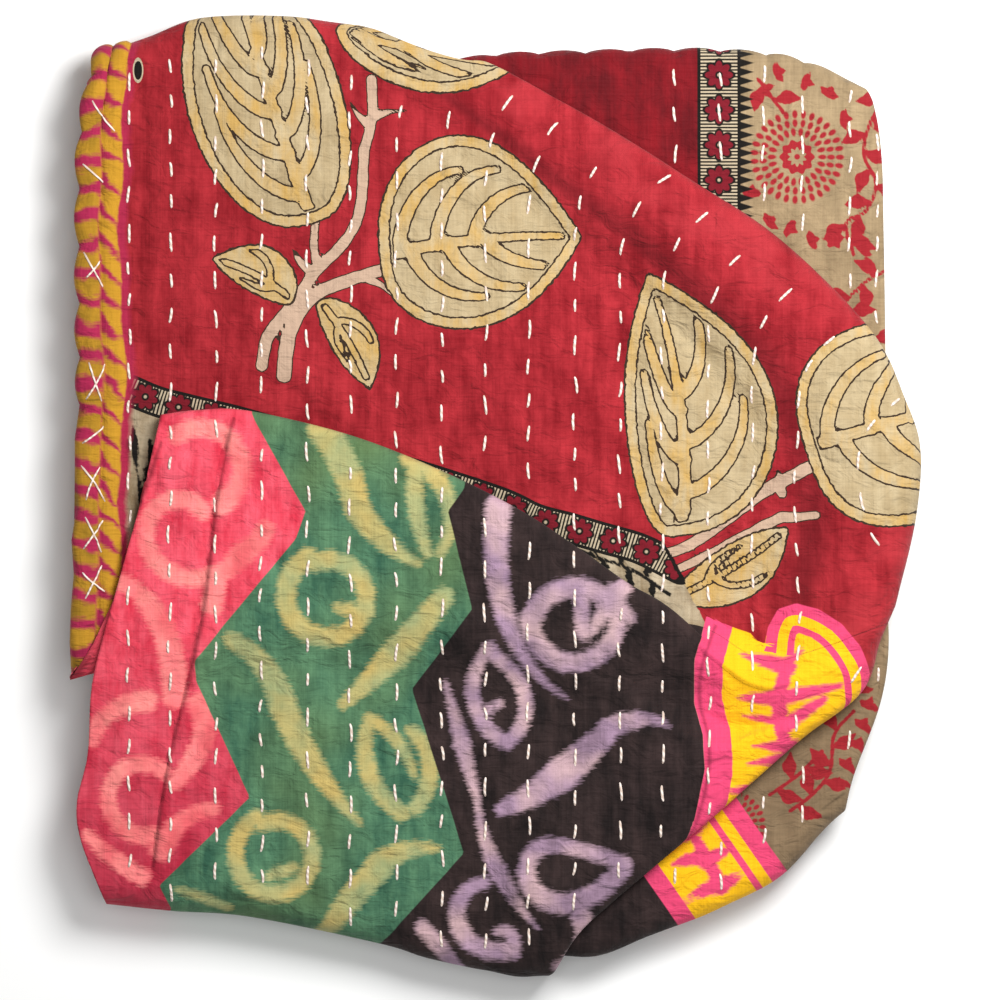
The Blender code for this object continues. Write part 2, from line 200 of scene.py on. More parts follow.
class Patch:
    """A plan filled in between four outlines: s runs from left to right, t from back to front."""

    def __init__(self, back, front, left, right, corners=()):
        self.back, self.front, self.left, self.right = map(Line, (back, front, left, right))
        self.corners = corners

    def __call__(self, s, t):
        s, t = np.broadcast_arrays(np.asarray(s, float), np.asarray(t, float))
        a, b = s[..., None], t[..., None]
        sides = (1 - b) * self.back(s) + b * self.front(s) + (1 - a) * self.left(t) + a * self.right(t)
        corners = (1 - b) * ((1 - a) * self.back(0.0) + a * self.back(1.0))
        corners = corners + b * ((1 - a) * self.front(0.0) + a * self.front(1.0))
        plan = sides - corners
        pull = np.zeros_like(plan)
        for corner_x, corner_y, pull_x, pull_y, reach in self.corners:
            away = np.hypot(plan[..., 0] - corner_x, plan[..., 1] - corner_y)
            pull += (1 - smooth(away / reach))[..., None] * (pull_x, pull_y)
        return plan + pull

    def pace(self, place, side, across):
        """Millimetres per unit of s at (side, place), or of t at (place, side), square to that side.

        It is read at a few places along the side, so that it changes gently.
        """
        d = 0.03
        far = side * (1 - d)
        at = np.linspace(0.06, 0.94, 12)
        s0, t0 = (np.full_like(at, far), at) if across else (at, np.full_like(at, far))
        ds = (self(s0 + d, t0) - self(s0, t0)) / d
        dt = (self(s0, t0 + d) - self(s0, t0)) / d
        area = np.abs(ds[..., 0] * dt[..., 1] - ds[..., 1] * dt[..., 0])
        return np.interp(place, at, area / np.linalg.norm(dt if across else ds, axis=-1))


def settled(points):
    """Sags the pile towards its edges and lets it swell unevenly, most at the top."""
    x, y, z = points[..., 0], points[..., 1], points[..., 2]
    from_side = PILE_HALF_SIZE[0] - np.abs(x)
    from_end = PILE_HALF_SIZE[1] - np.abs(y)
    edge = 1 - smooth(np.minimum(from_side, from_end) / SAG_WIDTH)
    waves = np.sin(x / 61 + 0.7) * np.cos(y / 83 - 0.4) + 0.6 * np.sin(x / 37 - y / 52 + 1.9)
    factor = 1 - EDGE_SAG * edge + SWELL * waves
    overhang = smooth((x - 186) / 34) * smooth((z - 22) / 12)
    out = points.copy()
    out[..., 2] = z + np.maximum(z - FLAT_BELOW, 0) * (factor - 1) - RIDGE_DROOP * overhang
    return out


def unit(vectors):
    """The same ways, each of length 1."""
    return vectors / np.linalg.norm(vectors, axis=-1, keepdims=True)


def spaced(count, ease=0.35):
    """Shares from 0 to 1, closer together towards both ends."""
    u = np.linspace(0, 1, count)
    return (1 - ease) * u + ease * (1 - np.cos(np.pi * u)) / 2


def packet_path(per_run, per_fold):
    """The doubled quilt's way back and forth, as (kind, value, z, run) rows.

    The value is a share of the way from back to front, or a distance inside one of the outlines.
    """
    rows = []
    back, front = (FROM_BACK, FOLD_OUTSIDE), (FROM_FRONT, FOLD_OUTSIDE + FRONT_FOLD_INSET)
    for run in range(RUNS):
        z = (run + 0.5) * RUN - AIR / 2
        forward = run % 2 == 1
        shares = FIRST_SHARE + (LAST_SHARE - FIRST_SHARE) * spaced(per_run[run], 0.5)[1:-1]
        rows += [(BY_SHARE, share, z, run) for share in (shares if forward else shares[::-1])]
        if run == RUNS - 1:
            break
        kind, centre = front if forward else back
        for angle in np.linspace(0, np.pi, per_fold + 1):
            height = z + RUN / 2 * (1 - np.cos(angle))
            inside = centre - FOLD_FULLNESS * RUN / 2 * np.sin(angle)
            rows.append((kind, inside, height, run + angle / np.pi))
    outside = FRONT_BEND + PITCH / 2 + HALF
    for angle in np.linspace(0, np.pi / 2, per_fold // 2 + 2):
        height = LAST_RUN_Z - FRONT_BEND * (1 - np.cos(angle))
        rows.append((FROM_FRONT, outside - FRONT_BEND * np.sin(angle), height, RUNS - 1))
    end_z = LAST_RUN_Z - FRONT_BEND - FRONT_DROP
    rows.append((FROM_FRONT, outside - FRONT_BEND + 0.4, end_z, RUNS - 1))
    return rows


def packet(shares, per_run, per_fold, per_turn):
    """Middle points of the doubled quilt, folded back and forth in four runs.

    Its two layers lie either side of one folded surface and meet in a round turn at the right.
    """
    lower = Patch(PACKET_BACK, LOWER_FRONT, PACKET_LEFT, LOWER_RIGHT, [BACK_CORNER])
    top = Patch(PACKET_BACK, PACKET_FRONT, PACKET_LEFT, PACKET_RIGHT, [BACK_CORNER, FRONT_CORNER])
    radius = PITCH / 2
    core = []
    for kind, value, z, run in packet_path(per_run, per_fold):
        inset_left, inset_right = (np.interp(run, range(RUNS), RUN_INSET[:, k]) for k in (0, 1))
        t_near = (value, 0.0, 1.0)[kind]
        patch = lower if run <= RUNS - 2 else top
        start = (HALF + inset_left) / patch.pace(t_near, 0.0, True)
        end = 1 - (HALF + inset_right + radius) / patch.pace(t_near, 1.0, True)
        s = start + (end - start) * shares
        pace = patch.pace(s, t_near, False)
        t = (value + 0 * s, value / pace, 1 - value / pace)[kind]
        core.append(np.column_stack([patch(s, t), np.full_like(s, z)]))
    core = settled(np.array(core))
    normal = unit(np.cross(np.gradient(core, axis=0), np.gradient(core, axis=1)))
    edge, up = core[:, -1], normal[:, -1]
    out = unit(np.cross(up, np.gradient(edge, axis=0)))
    turn = [edge + radius * (out * np.sin(a) + up * np.cos(a))
            for a in np.linspace(0, np.pi, per_turn + 1)[1:-1]]
    over, below = core + radius * normal, core - radius * normal
    rough = np.searchsorted(shares, np.linspace(1, 0, UNDER_COLUMNS) - 1e-9)
    return np.concatenate([over, np.stack(turn, 1), below[:, rough]], 1)


class Sheet:
    """The loose top sheet, with the plans of its upper part and of its flap."""

    def __init__(self):
        upper_roll = [(-207, 45), (-180, 43)] + ROLL[1:]
        self.upper = Patch(SHEET_BACK, upper_roll, HEM, RIDGE)
        self.flap = Patch(ROLL, FLAP_FRONT, FLAP_LEFT, FLAP_RIGHT, [FLAP_CORNER])

    def depth(self, s):
        """How far the pleat reaches under the flap."""
        return PLEAT_DEPTH * np.clip(1 - s / (PLEAT_END + 0.02), 0, 1)

    def roll(self, s):
        """Radius of the flap's rolled edge, fuller towards the right."""
        return ROLL_RADIUS[0] + (ROLL_RADIUS[1] - ROLL_RADIUS[0]) * np.clip(s / PLEAT_END, 0, 1)

    def folding(self, s):
        """How much of the pleat's doubling back is left, and how much of its lift."""
        back = 1 - smooth((s - PLEAT_END + 0.14) / 0.12)
        lift = 1 - smooth((s - PLEAT_END + 0.05) / 0.18)
        return back, lift

    def side_lift(self, from_ridge, t):
        """Height of the sheet over its turned-under side."""
        radius, width = self.turn_under(t)
        on_leg = 1 - smooth((from_ridge - width - 3) / 26)
        puff = np.exp(-((np.maximum(from_ridge - radius, 0) / RIDGE_SPREAD) ** 2))
        return STEP * on_leg + (2 * radius - STEP) * puff

    def turn_under(self, t):
        """Radius of the turned-under side, and how wide a strip is turned under."""
        return (np.interp(t, TURN_UNDER[:, 0], TURN_UNDER[:, k]) for k in (1, 2))

    def flap_lift(self, s, from_roll):
        """Height of the flap over the pleat under it and behind its rolled edge."""
        _, lift = self.folding(s)
        level = 2 * STEP * (1 - smooth((from_roll - self.depth(s) - 2) / 34))
        puff = np.exp(-((np.maximum(from_roll - self.roll(s), 0) / 30) ** 2))
        return lift * (level + (2 * self.roll(s) - STEP) * puff)

    def across(self, t, shares, per_turn, per_leg):
        """The sheet's section at one place: s, height factor and from_ridge, left edge to inner end.

        The height factor is 1 on the upper side, falls round the turn and is 0 on the leg.
        """
        patch, local = (self.upper, t) if t < 1 else (self.flap, t - 1)
        reach = patch.pace(local, 1.0, True)
        radius, width = self.turn_under(t)
        end = 1 - (HALF + radius) / reach
        start = HALF / patch.pace(local, 0.0, True)
        turns = np.linspace(0, np.pi, per_turn + 1)[1:]
        legs = np.linspace(radius, max(width, radius + 3), per_leg + 1)[1:]
        s = np.concatenate([
            start + (end - start) * shares,
            end + radius * np.sin(turns) / reach,
            1 - (HALF + legs) / reach,
        ])
        factor = np.concatenate([np.ones_like(shares), (1 + np.cos(turns)) / 2, np.zeros_like(legs)])
        return s, factor, (1 - s) * reach - HALF

    def grid(self, columns, per_wrap, per_upper, per_pleat, per_flap, per_turn, per_leg):
        """Middle points of the whole sheet, from the back fold to the hem at the front."""
        shares = spaced(columns, 0.25)
        rows = []

        def lay(t, place):
            s, factor, from_ridge = self.across(t, shares, per_turn, per_leg)
            rows.append(place(s, factor, self.side_lift(from_ridge, t)))

        for angle in np.radians(np.linspace(WRAP_TURN, 0, per_wrap + 1)):
            lay(0.0, lambda s, f, h: self.wrapped(s, f * h, angle))
        for share in spaced(per_upper + 1)[1:-1]:
            lay(share, lambda s, f, h: self.on_upper(s, share, f * h))
        for step in range(4 * per_pleat + 1):
            lay(1.0, lambda s, f, h: self.pleated(s, f, h, step / per_pleat))
        for share in spaced(per_flap + 1)[1:-1]:
            lay(1 + share, lambda s, f, h: self.on_flap(s, share, f, h))
        for angle in np.linspace(0, np.pi / 2, per_wrap):
            lay(2.0, lambda s, f, h: self.hung(s, f * h, angle, 0.0))
        for drop in (0.5, 1.0):
            lay(2.0, lambda s, f, h: self.hung(s, f * h, np.pi / 2, drop))
        return np.array(rows)

    def wrapped(self, s, height, angle):
        """Round the back of the packet, with the end sunk into the fold that it belongs to."""
        angle = angle * (1 - 0.85 * smooth((s - 0.70) / 0.26))
        sink = WRAP_SINK * smooth((angle - np.radians(WRAP_TURN - 45)) / np.radians(45))
        radius = WRAP_RADIUS + height - sink
        inward = HALF + WRAP_RADIUS - radius * np.sin(angle)
        t = inward / self.upper.pace(s, 0.0, False)
        return np.column_stack([self.upper(s, t), BACK_FOLD_Z + radius * np.cos(angle)])

    def on_upper(self, s, share, height):
        """On the packet, between the back and the pleat."""
        first = (HALF + WRAP_RADIUS) / self.upper.pace(s, 0.0, False)
        t = first + (1 - first) * share
        return np.column_stack([self.upper(s, t), REST + height])

    def on_flap(self, s, share, factor, height):
        """On the packet and on the pleat, between the rolled edge and the front."""
        first = self.flap_start(s, factor)
        last = 1 - (HALF + FRONT_RADIUS) / self.flap.pace(s, 1.0, False)
        t = first + (last - first) * share
        plan = self.flap(s, t)
        lift = self.flap_lift(s, t * self.flap.pace(s, 0.0, False))
        return np.column_stack([plan, REST + factor * (height + lift)])

    def flap_start(self, s, factor):
        """Where the flap begins in front of its rolled edge, as a share of its depth."""
        back = factor * self.folding(s)[0]
        from_roll = back * (HALF + self.roll(s)) + (1 - back) * PLAIN_WIDTH
        return from_roll / self.flap.pace(s, 0.0, False)

    def hung(self, s, height, angle, drop):
        """Over the front edge and down to the hem."""
        radius = FRONT_RADIUS + height
        inward = HALF + FRONT_RADIUS - radius * np.sin(angle) + 1.5 * drop
        t = 1 - inward / self.flap.pace(s, 1.0, False)
        z = FRONT_Z + radius * np.cos(angle) - drop * (FRONT_Z - FRONT_HEM_Z)
        return np.column_stack([self.flap(s, t), z])

    def pleated(self, s, factor, side, place):
        """Through the pleat; where that has run out, straight on.

        place runs 0..1 along the hidden upper part, 1..2 round the inner fold, 2..3 back under the
        flap and 3..4 round the rolled edge.
        """
        back, lift = self.folding(s)
        pace = self.flap.pace(s, 0.0, False)
        depth = self.depth(s)
        roll = self.roll(s)
        roll_line = self.flap(s, (HALF + roll) / pace)
        inner = self.upper(s, 1.0) - np.column_stack([4 * (1 - s) ** 6, depth])
        reach = np.maximum(depth - PLEAT_RADIUS - HALF, 1e-3)
        along = (inner - self.upper(s, 1.0)) / np.maximum(depth, 1e-3)[:, None]
        turn = self.upper(s, 1.0) + along * reach[:, None]
        if place <= 1:
            folded = self.upper(s, 1.0) + along * (reach * place)[:, None]
            height = np.zeros_like(s)
        elif place <= 2:
            angle = np.pi * (place - 1)
            folded = turn + along * PLEAT_RADIUS * np.sin(angle)
            height = np.full_like(s, PLEAT_RADIUS * (1 - np.cos(angle)))
        elif place <= 3:
            share = place - 2
            bow = 14 * 4 * share * (1 - share) * np.clip(1 - s / 0.3, 0, 1)
            folded = turn + (roll_line - turn) * share + np.column_stack([bow, 0 * bow])
            height = np.full_like(s, 2 * PLEAT_RADIUS)
        else:
            angle = np.pi * (place - 3)
            folded = self.flap(s, (HALF + roll * (1 - np.sin(angle))) / pace)
            height = 2 * PLEAT_RADIUS + roll * (1 - np.cos(angle))
        back = back * factor
        straight = self.flap(s, PLAIN_WIDTH * place / 4 / pace)
        plan = back[:, None] * folded + (1 - back)[:, None] * straight
        top = 2 * PLEAT_RADIUS + 2 * roll
        height = lift * (back * height + (1 - back) * top * place / 4)
        return np.column_stack([plan, REST + factor * (side + height)])


# ---- Grids, sewing and relief -----------------------------------------------------------------

# The packet's middle on the floor, as in the solid
ORIGIN = np.array([2.18, -0.73, 0.0])

# Grid of the packet: rows of each run and fold, and columns, closest under the printed cream
RUN_ROWS = (9, 9, 9, 262)
PACKET_FOLD = 12
PACKET_TURN = 12
UNDER_COLUMNS = 28
PACKET_SHARES = np.concatenate([
    np.linspace(0, 0.42, 13)[:-1], np.linspace(0.42, 0.8, 51)[:-1], np.linspace(0.8, 1, 56),
])
PACKET_COLUMNS = len(PACKET_SHARES) + PACKET_TURN - 1 + UNDER_COLUMNS

# Grid of the loose sheet: columns of its face, of the turn and of the leg under it, and rows
SHEET_COLUMNS = 193
SHEET_TURN = 12
SHEET_LEG = 8
SHEET_WRAP = 12
SHEET_UPPER = 175
SHEET_FLAP = 120
SHEET_PLEAT = 8

# The puffed hem on the left edge
HEM_WIDTH = 22.5
HEM_CREEP = 4.5
HEM_ROPE = 6.0
HEM_ROPE_PUFF = 4.6
HEM_BAND_PUFF = 2.4
SCALLOP = 27.0
SCALLOP_DEPTH = 2.6
HEM_FLAME = 13.5

# The flames on its band and on its rope: lean, half width at the edge, and how that grows inwards
BAND_FLAMES = (-0.95, 6.6, -0.27)
ROPE_FLAMES = (-0.25, 3.0, 0.02)

# The line of its crossed stitches: y from the front to the back, x, and how far inside it they lie
HEM_SEAM = ((-95, 45, 172, 215), (-207, -207, -206, -197))
HEM_SEAM_INSET = 9.0
HEM_SEAM_ENDS = (214.0, -95.0)

# The base's woven border, with spikes along its right side that grow shorter away from it
BASE_BAND = 114.5
BASE_BAND_HALF = 10.0
SPIKE_PITCH = 4.5
SPIKE_SLOPE = (-0.30, 5.25)

# A printed sun: its eye, its toothed crown, and the rings of ovals round them: radius, number of
# ovals, half length and half width
SUN_EYE = 1.4
SUN_CROWN = 6.2
SUN_TEETH = 10.0
SUN_RINGS = ((12.6, 22, 2.1, 1.2), (17.0, 27, 2.0, 1.25), (21.4, 31, 2.1, 1.3))

# Rows of stitches: the first on the sheet, and all on the base, from the back to the front. They
# bend over on the last stretch before the ridge.
FIRST_ROW = -159.0
BASE_ROWS = (70.0, 92.5, 115.0, 138.0, 157.0, 179.0, 194.0)
ROW_ENDS = (242.0, -246.0)
ROW_BEND = 60.0

# What a row does to the cloth: depth and half width of its channel, height and half width of its
# puckers, and how far it pulls in the packet's back edge. Then the greatest step in height and the
# least upright slope that one stitch can cross.
CHANNEL = (0.45, 2.4)
PUCKER = (0.22, 5.5)
BACK_PINCH = 2.2
STITCH_STEP = 2.5
STITCH_SLOPE = 0.35

# Where, from left to right, the pleat runs out and the cloth under the flap lies as it is seen
PLEAT_FADE = (60, 95)

# Rows of the loose sheet's grid: where the pleat and the flap begin, the middle of the pleat's
# inner fold and of its rolled edge, and the flap's end. Then the layers that stitches are sewn
# on: piece, and its first and last rows.
PLEAT_ROW = SHEET_WRAP + SHEET_UPPER
FLAP_ROW = PLEAT_ROW + 4 * SHEET_PLEAT
INNER_ROW = PLEAT_ROW + 3 * SHEET_PLEAT // 2
CROWN_ROW = PLEAT_ROW + 7 * SHEET_PLEAT // 2
FLAP_END = FLAP_ROW + SHEET_FLAP - 1
UPPER_ROWS = ("loose_sheet", 8, PLEAT_ROW + SHEET_PLEAT + 3)
LAYERS = {
    "upper": UPPER_ROWS,
    "flap": ("loose_sheet", FLAP_ROW - SHEET_PLEAT - 3, FLAP_ROW + SHEET_FLAP + 7),
    "edge": UPPER_ROWS,
    "base": ("folded_packet", 0, np.inf),
}
THREAD_SIDES = 6

# How far out distances to printed strokes are kept, a distance that stands for nowhere near, and
# how finely a brush stroke is stepped
FAR_OUT = 12.0
NOWHERE = 99.0
BRUSH_STEPS = 14

# Creases of the upper layers: points, height, half width
CREASES = [
    ([(-158, 38), (-163, 20), (-173, -7), (-183, -20)], -1.6, 3.0),
    ([(-132, 35), (-137, 0), (-144, -43), (-148, -68), (-153, -96), (-162, -146), (-170, -190)],
     -1.4, 3.0),
    ([(-14, -12), (25, -102)], -1.0, 6.0),
    ([(-22, -102), (-6, -154), (0, -184), (12, -209), (18, -224)], -1.5, 4.0),
    ([(103, -107), (124, -115), (155, -110)], -1.5, 3.0),
    ([(40, 127), (55, 57)], -1.5, 9.0),
    ([(22, 196), (48, 158), (74, 122), (96, 92), (120, 62)], -1.7, 10.0),
    ([(-12, 150), (-4, 100), (-16, 40)], -1.1, 6.0),
    ([(-104, 60), (-88, 42), (-70, 30)], -1.0, 4.0),
    ([(-175, 202), (-172, 148), (-176, 98), (-170, 52)], -0.8, 4.0),
    ([(55, 82), (67, 71), (75, 12), (85, -22)], -1.7, 8.0),
]

# Tucks, where the cloth on the right stands over the cloth on the left: points, height, half width
TUCKS = [
    ([(-127, 41), (-133, 14), (-137, -12), (-142, -55), (-150, -92), (-161, -137), (-168, -186)],
     2.2, 6.0),
    ([(-163, 30), (-170, 8), (-179, -14), (-188, -38)], 1.8, 5.0),
    ([(114, -62), (106, -84), (105, -104), (109, -122), (109, -138), (104, -160), (96, -176)],
     0.9, 4.0),
]

# Soft swellings of the loose sheet: middle, height, half length, half width, heading in degrees
SWELLS = [
    (112, 92, 3.4, 62, 26, -38),
    (152, 18, 3.0, 42, 34, -60),
    (8, 78, 2.2, 70, 26, -72),
    (-75, 160, 1.8, 55, 38, 60),
    (-150, 120, 1.2, 80, 14, 90),
    (-60, 75, 1.2, 50, 18, 20),
]
FLAP_SWELL = 0.9

# The stage, in metres: half the floor's side, and soft lights by name, power in watts, width and
# place. The camera is far above, so that nothing leans, and sees this width at this height.
FLOOR_HALF = 2.0
SOFTBOXES = (
    ("key_softbox", 12.2, 0.45, (0.34, 0.42, 0.80)),
    ("top_softbox", 7.0, 1.0, (0.1, -0.2, 1.6)),
)
WORLD_LIGHT = 0.30
CAMERA_PLACE = (0.0028, -0.0018)
CAMERA_LENS = 300.0
CAMERA_SENSOR = 36.0
VIEW_WIDTH = 0.5
VIEW_HEIGHT = 0.03

# ---- Patterns, in plan millimetres from the middle of the quilt -------------------------------

# Leaves printed on the red cloth: base, tip, how far they reach left and right of the line from
# base to tip, the share of that line where they are widest, and side veins on each side. The
# small leaves, with a 0 there, have a narrow rim, a thin rib and one pair of thin veins.
LEAVES = [
    (-87, 136, -133, 284, 45, 32, 0.42, 4),
    (-55, 117, 46, 129, 58, 39, 0.42, 3),
    (-76, 233, 13, 214, 26, 22, 0.50, 2),
    (91, -21, 79, 111, 18, 58, 0.42, 3),
    (157, 24, 272, 58, 50, 52, 0.36, 3),
    (-99, 96, -139, 118, 5, 19, 0.45, 0),
    (-86, 97, -60, 53, 17, 6, 0.50, 0),
    (93, -50, 149, -16, 8, 20, 0.50, 0),
]
RIM = 5.5
LEAF_POINTS = 26

# Stems and thorns: half width at each end, then points along it
STEMS = [
    (3.9, 2.9, [(-103, 60), (-101, 78), (-95, 92), (-86, 101), (-74, 106), (-59, 111), (-46, 114)]),
    (3.2, 2.6, [(-114, 65), (-111, 79), (-103, 90), (-96, 99), (-88, 111), (-75, 124), (-67, 136),
                (-64, 152), (-63, 172)]),
    (2.6, 2.6, [(-63, 172), (-59, 188), (-59, 208)]),
    (2.2, 0.3, [(-62, 186), (-66, 190), (-70, 196)]),
    (2.4, 0.3, [(-60, 187), (-52, 191), (-42, 192)]),
    (2.6, 0.3, [(-91, 113), (-96, 118), (-99, 126)]),
    (2.2, 1.8, [(-87, 117), (-88, 127), (-87, 138)]),
    (2.2, 0.3, [(-61, 108), (-53, 104), (-46, 97)]),
    (2.4, 3.6, [(82, -31), (100, -25), (118, -12), (135, 1)]),
    (3.6, 3.0, [(135, 1), (150, 9), (166, 17)]),
    (2.6, 0.3, [(146, 1), (145, 8), (143, 13)]),
    (2.0, 2.8, [(87, -40), (105, -32), (126, -21), (146, -11)]),
    (2.8, 2.0, [(146, -11), (154, -11), (163, -10)]),
]

# The woven border along the lower edge of the red cloth
BORDER = [
    (-186, 55), (-167, 47), (-152, 43), (-120, 35), (-70, 20), (-24, 6), (6, -4), (23, -12),
    (41, -17), (58, -22), (75, -27), (93, -36),
]
BORDER_HALF = 7.0

# A woven border: cross stripes, the black line on each side, and flowers whose petals reach so far
STRIPE_PITCH = 1.7
STRIPE_HALF = 0.42
BORDER_LINE = 0.8
FLOWER_PITCH = 17.5
FLOWER_OUTLINE = 1.3
FLOWER_HEART = 1.9
FLOWER_EYE = 0.8
BORDER_PETAL = 6.4
BASE_PETAL = 7.0

# The slanting line where the border ends under the flap: x falls by this share of y from this x
BORDER_CUT = (-0.52, 74.0)

# Sprigs printed in black on the cloth beyond that border
SPRIGS = [
    [(-165, 36), (-172, 22), (-172, 6), (-179, -14)],
    [(-179, 40), (-182, 22), (-181, 4)],
    [(40, -26), (56, -32), (72, -38), (90, -50)],
    [(44, -36), (60, -44), (78, -56)],
]

# Seams of the patchwork flap, from the back to the front
CORAL_SEAM = [
    (-119, 60), (-119, 40), (-92, -8), (-97, -22), (-147, -82), (-147, -93), (-120, -151),
    (-165, -195), (-159, -208), (-155, -260),
]
GREEN_SEAM = [
    (-8, 40), (-13, 3), (-21, -8), (-14, -36), (-9, -57), (-39, -97), (-13, -179), (-53, -223),
    (-80, -270),
]
BLACK_SEAM = [
    (114, -32), (108, -61), (102, -82), (102, -104), (106, -120), (107, -137), (102, -162),
    (98, -171), (80, -192), (55, -222), (30, -262),
]

# The sari's edge strip: its outline, and the rim with coloured lines
STRIP = [
    (114, -32), (108, -61), (121, -66), (130, -69), (137, -77), (139, -66), (144, -57), (153, -54),
    (164, -57), (175, -64), (184, -75), (190, -88), (192, -110), (190, -150), (160, -200),
    (110, -240), (30, -290), (30, -262), (55, -222), (80, -192), (98, -171), (102, -162),
    (107, -137), (106, -120), (102, -104), (102, -82), (108, -61),
]
STRIP_RIM = [
    (137, -79), (139, -66), (144, -57), (153, -54), (164, -57), (175, -64), (184, -75), (190, -88),
    (192, -110),
]

# Its lines: where the yellow line and the yellow field lie inside the rim, and its magenta side;
# the rim counts only past this x or this y
STRIP_LINE = 8.5
STRIP_FIELD = 14.5
STRIP_SIDE = 14.0
RIM_START = (136.5, -60.0)

# Brush strokes of the resist-dyed cloths: start, length, heading and turn in degrees, how early it
# turns (below 0) or how late, and half width at the start, middle and end
IKAT_CORAL = [
    (-143, -8, 123, 125, 295, -0.7, 4.5, 4.5, 4.5),
    (-185, -43, 67, -25, -65, -0.6, 4, 6, 6.5),
    (-156, 30, 66, 35, -185, 0.0, 4.5, 4.5, 5.5),
    (-114, -23, 43, -175, 70, -1.0, 4, 3, 5.5),
    (-199, -122, 36, 75, -75, -0.2, 4, 4.5, 5.5),
    (-163, -138, 72, 140, 230, -0.1, 4, 4, 4.5),
    (-145, -105, 43, -60, -70, -1.0, 6, 5.5, 4),
    (-138, -157, 35, -180, 60, -0.7, 3.5, 4.5, 5.5),
    (-201, -170, 34, -50, 20, -0.8, 3, 4, 4.5),
]
IKAT_GREEN = [
    (-84, 33, 43, -50, -32, 0.0, 7, 7, 6.5),
    (-65, -8, 40, -57, 30, 0.0, 6.5, 5, 1.5),
    (-31, -29, 50, 112, -32, 0.0, 2.5, 4.5, 4),
    (-41, 18, 57, -18, -105, 0.0, 4, 4, 2.5),
    (-88, -34, 124, 25, -355, -0.1, 4.5, 4.5, 5),
    (-65, -58, 11, 170, 0, 0.0, 3, 3, 2.5),
    (-23, -51, 74, -130, -10, 1.0, 5, 7.5, 2.5),
    (-129, -72, 44, -28, -50, 0.0, 4, 5.5, 7.0),
    (-104, -104, 72, -68, 22, 0.0, 7.0, 5.5, 1.5),
    (-60, -112, 54, -112, 82, 0.0, 3, 4.5, 4),
    (-37, -156, 42, 48, 90, 0.0, 4, 4, 3.5),
    (-58, -113, 34, -30, -48, 0.0, 3, 3, 2),
    (-114, -164, 119, 25, -355, -0.1, 4, 4, 4),
    (-98, -186, 13, -160, 0, 0.0, 2.5, 3, 2.5),
    (-156, -197, 27, -15, -20, 0.7, 1.5, 2.5, 2.5),
    (-26, -177, 32, 170, 50, 0.0, 1.5, 4.5, 6.5),
    (-55, -186, 47, -137, 18, 0.0, 6.5, 6, 4),
]
IKAT_BLACK = [
    (4, -6, 107, -95, 65, 0.7, 6.5, 5, 0.75),
    (61, -48, 84, -60, -215, 0.1, 4, 4.5, 5),
    (22, -60, 58, 75, -125, -0.6, 5, 5, 3.5),
    (46, -44, 25, -95, 15, 0.0, 3, 4, 3.5),
    (50, -68, 27, 58, -10, 0.0, 2.5, 4, 4.5),
    (0, -76, 57, -135, 110, 0.0, 3, 3.5, 3.5),
    (10, -122, 55, 35, 115, -0.6, 3.5, 3.5, 3),
    (-2, -108, 8, 30, 0, 0.0, 2, 2, 2),
    (6, -157, 70, 20, 25, -1.0, 3.5, 8.5, 5),
    (58, -118, 33, 35, -65, 0.2, 5.5, 4, 0.5),
    (-22, -94, 64, -75, 0, -0.4, 1, 4.5, 1.5),
    (-6, -155, 70, -85, 35, -0.6, 1.5, 4.5, 0.5),
    (29, -175, 82, -175, 225, -0.9, 4, 5, 4.5),
    (67, -184, 40, 160, 15, 0.6, 3.5, 3.5, 3.5),
    (-3, -194, 60, -175, 190, -0.3, 3, 4.5, 4.5),
    (11, -228, 16, 65, 140, 0.3, 4, 3, 2),
    (45, -210, 35, -50, -110, -0.4, 5, 5.5, 4.5),
    (-34, -216, 27, -45, -25, 0.5, 3.5, 4, 4.5),
]
STRIP_FLAMES = [
    (148, -86, 24, 165, 0, 0.0, 4.5, 3, 0.5),
    (147, -85, 12, 40, 0, 0.0, 3, 2, 0.5),
    (148, -86, 42, -110, 40, 0.0, 3, 4, 3),
    (145, -101, 22, 180, 0, 0.0, 4.5, 3, 0.5),
    (145, -101, 30, 12, 0, 0.0, 4, 3, 1.5),
    (150, -114, 24, 170, 0, 0.0, 3, 2, 0.5),
    (148, -114, 22, 35, 0, 0.0, 4, 3, 2),
    (152, -125, 21, 180, 0, 0.0, 4, 2.5, 0.5),
    (146, -131, 18, 190, 0, 0.0, 3.5, 2, 0.5),
    (135, -146, 20, 185, 0, 0.0, 3.5, 2, 0.5),
]

# The layer under the flap: where its strip starts and which way that lies, how far along that
# way each of its lines begins, which of them has the flames, and the flames
LOWER_STRIP = (76, -189, 0.82, 0.57)
LOWER_STRIP_BACK = -60.0
LOWER_LINES = (0.0, 9.0, 42.0, 45.5, 51.0, 60.0)
FLAMED_LINE = 1
LOWER_FLAMES = [
    (103, -172, 28, -62, 0, 0.0, 2.5, 3.5, 3),
    (105, -181, 15, 195, 0, 0.0, 4, 3, 0.5),
    (107, -183, 17, 25, 0, 0.0, 4, 3, 0.5),
    (113, -195, 17, 205, 0, 0.0, 4, 3, 0.5),
    (114, -196, 15, 28, 0, 0.0, 4, 3, 0.5),
    (98, -170, 12, 30, 0, 0.0, 3.5, 2.5, 0.5),
    (88, -208, 14, 25, 0, 0.0, 3.5, 2.5, 0.5),
]

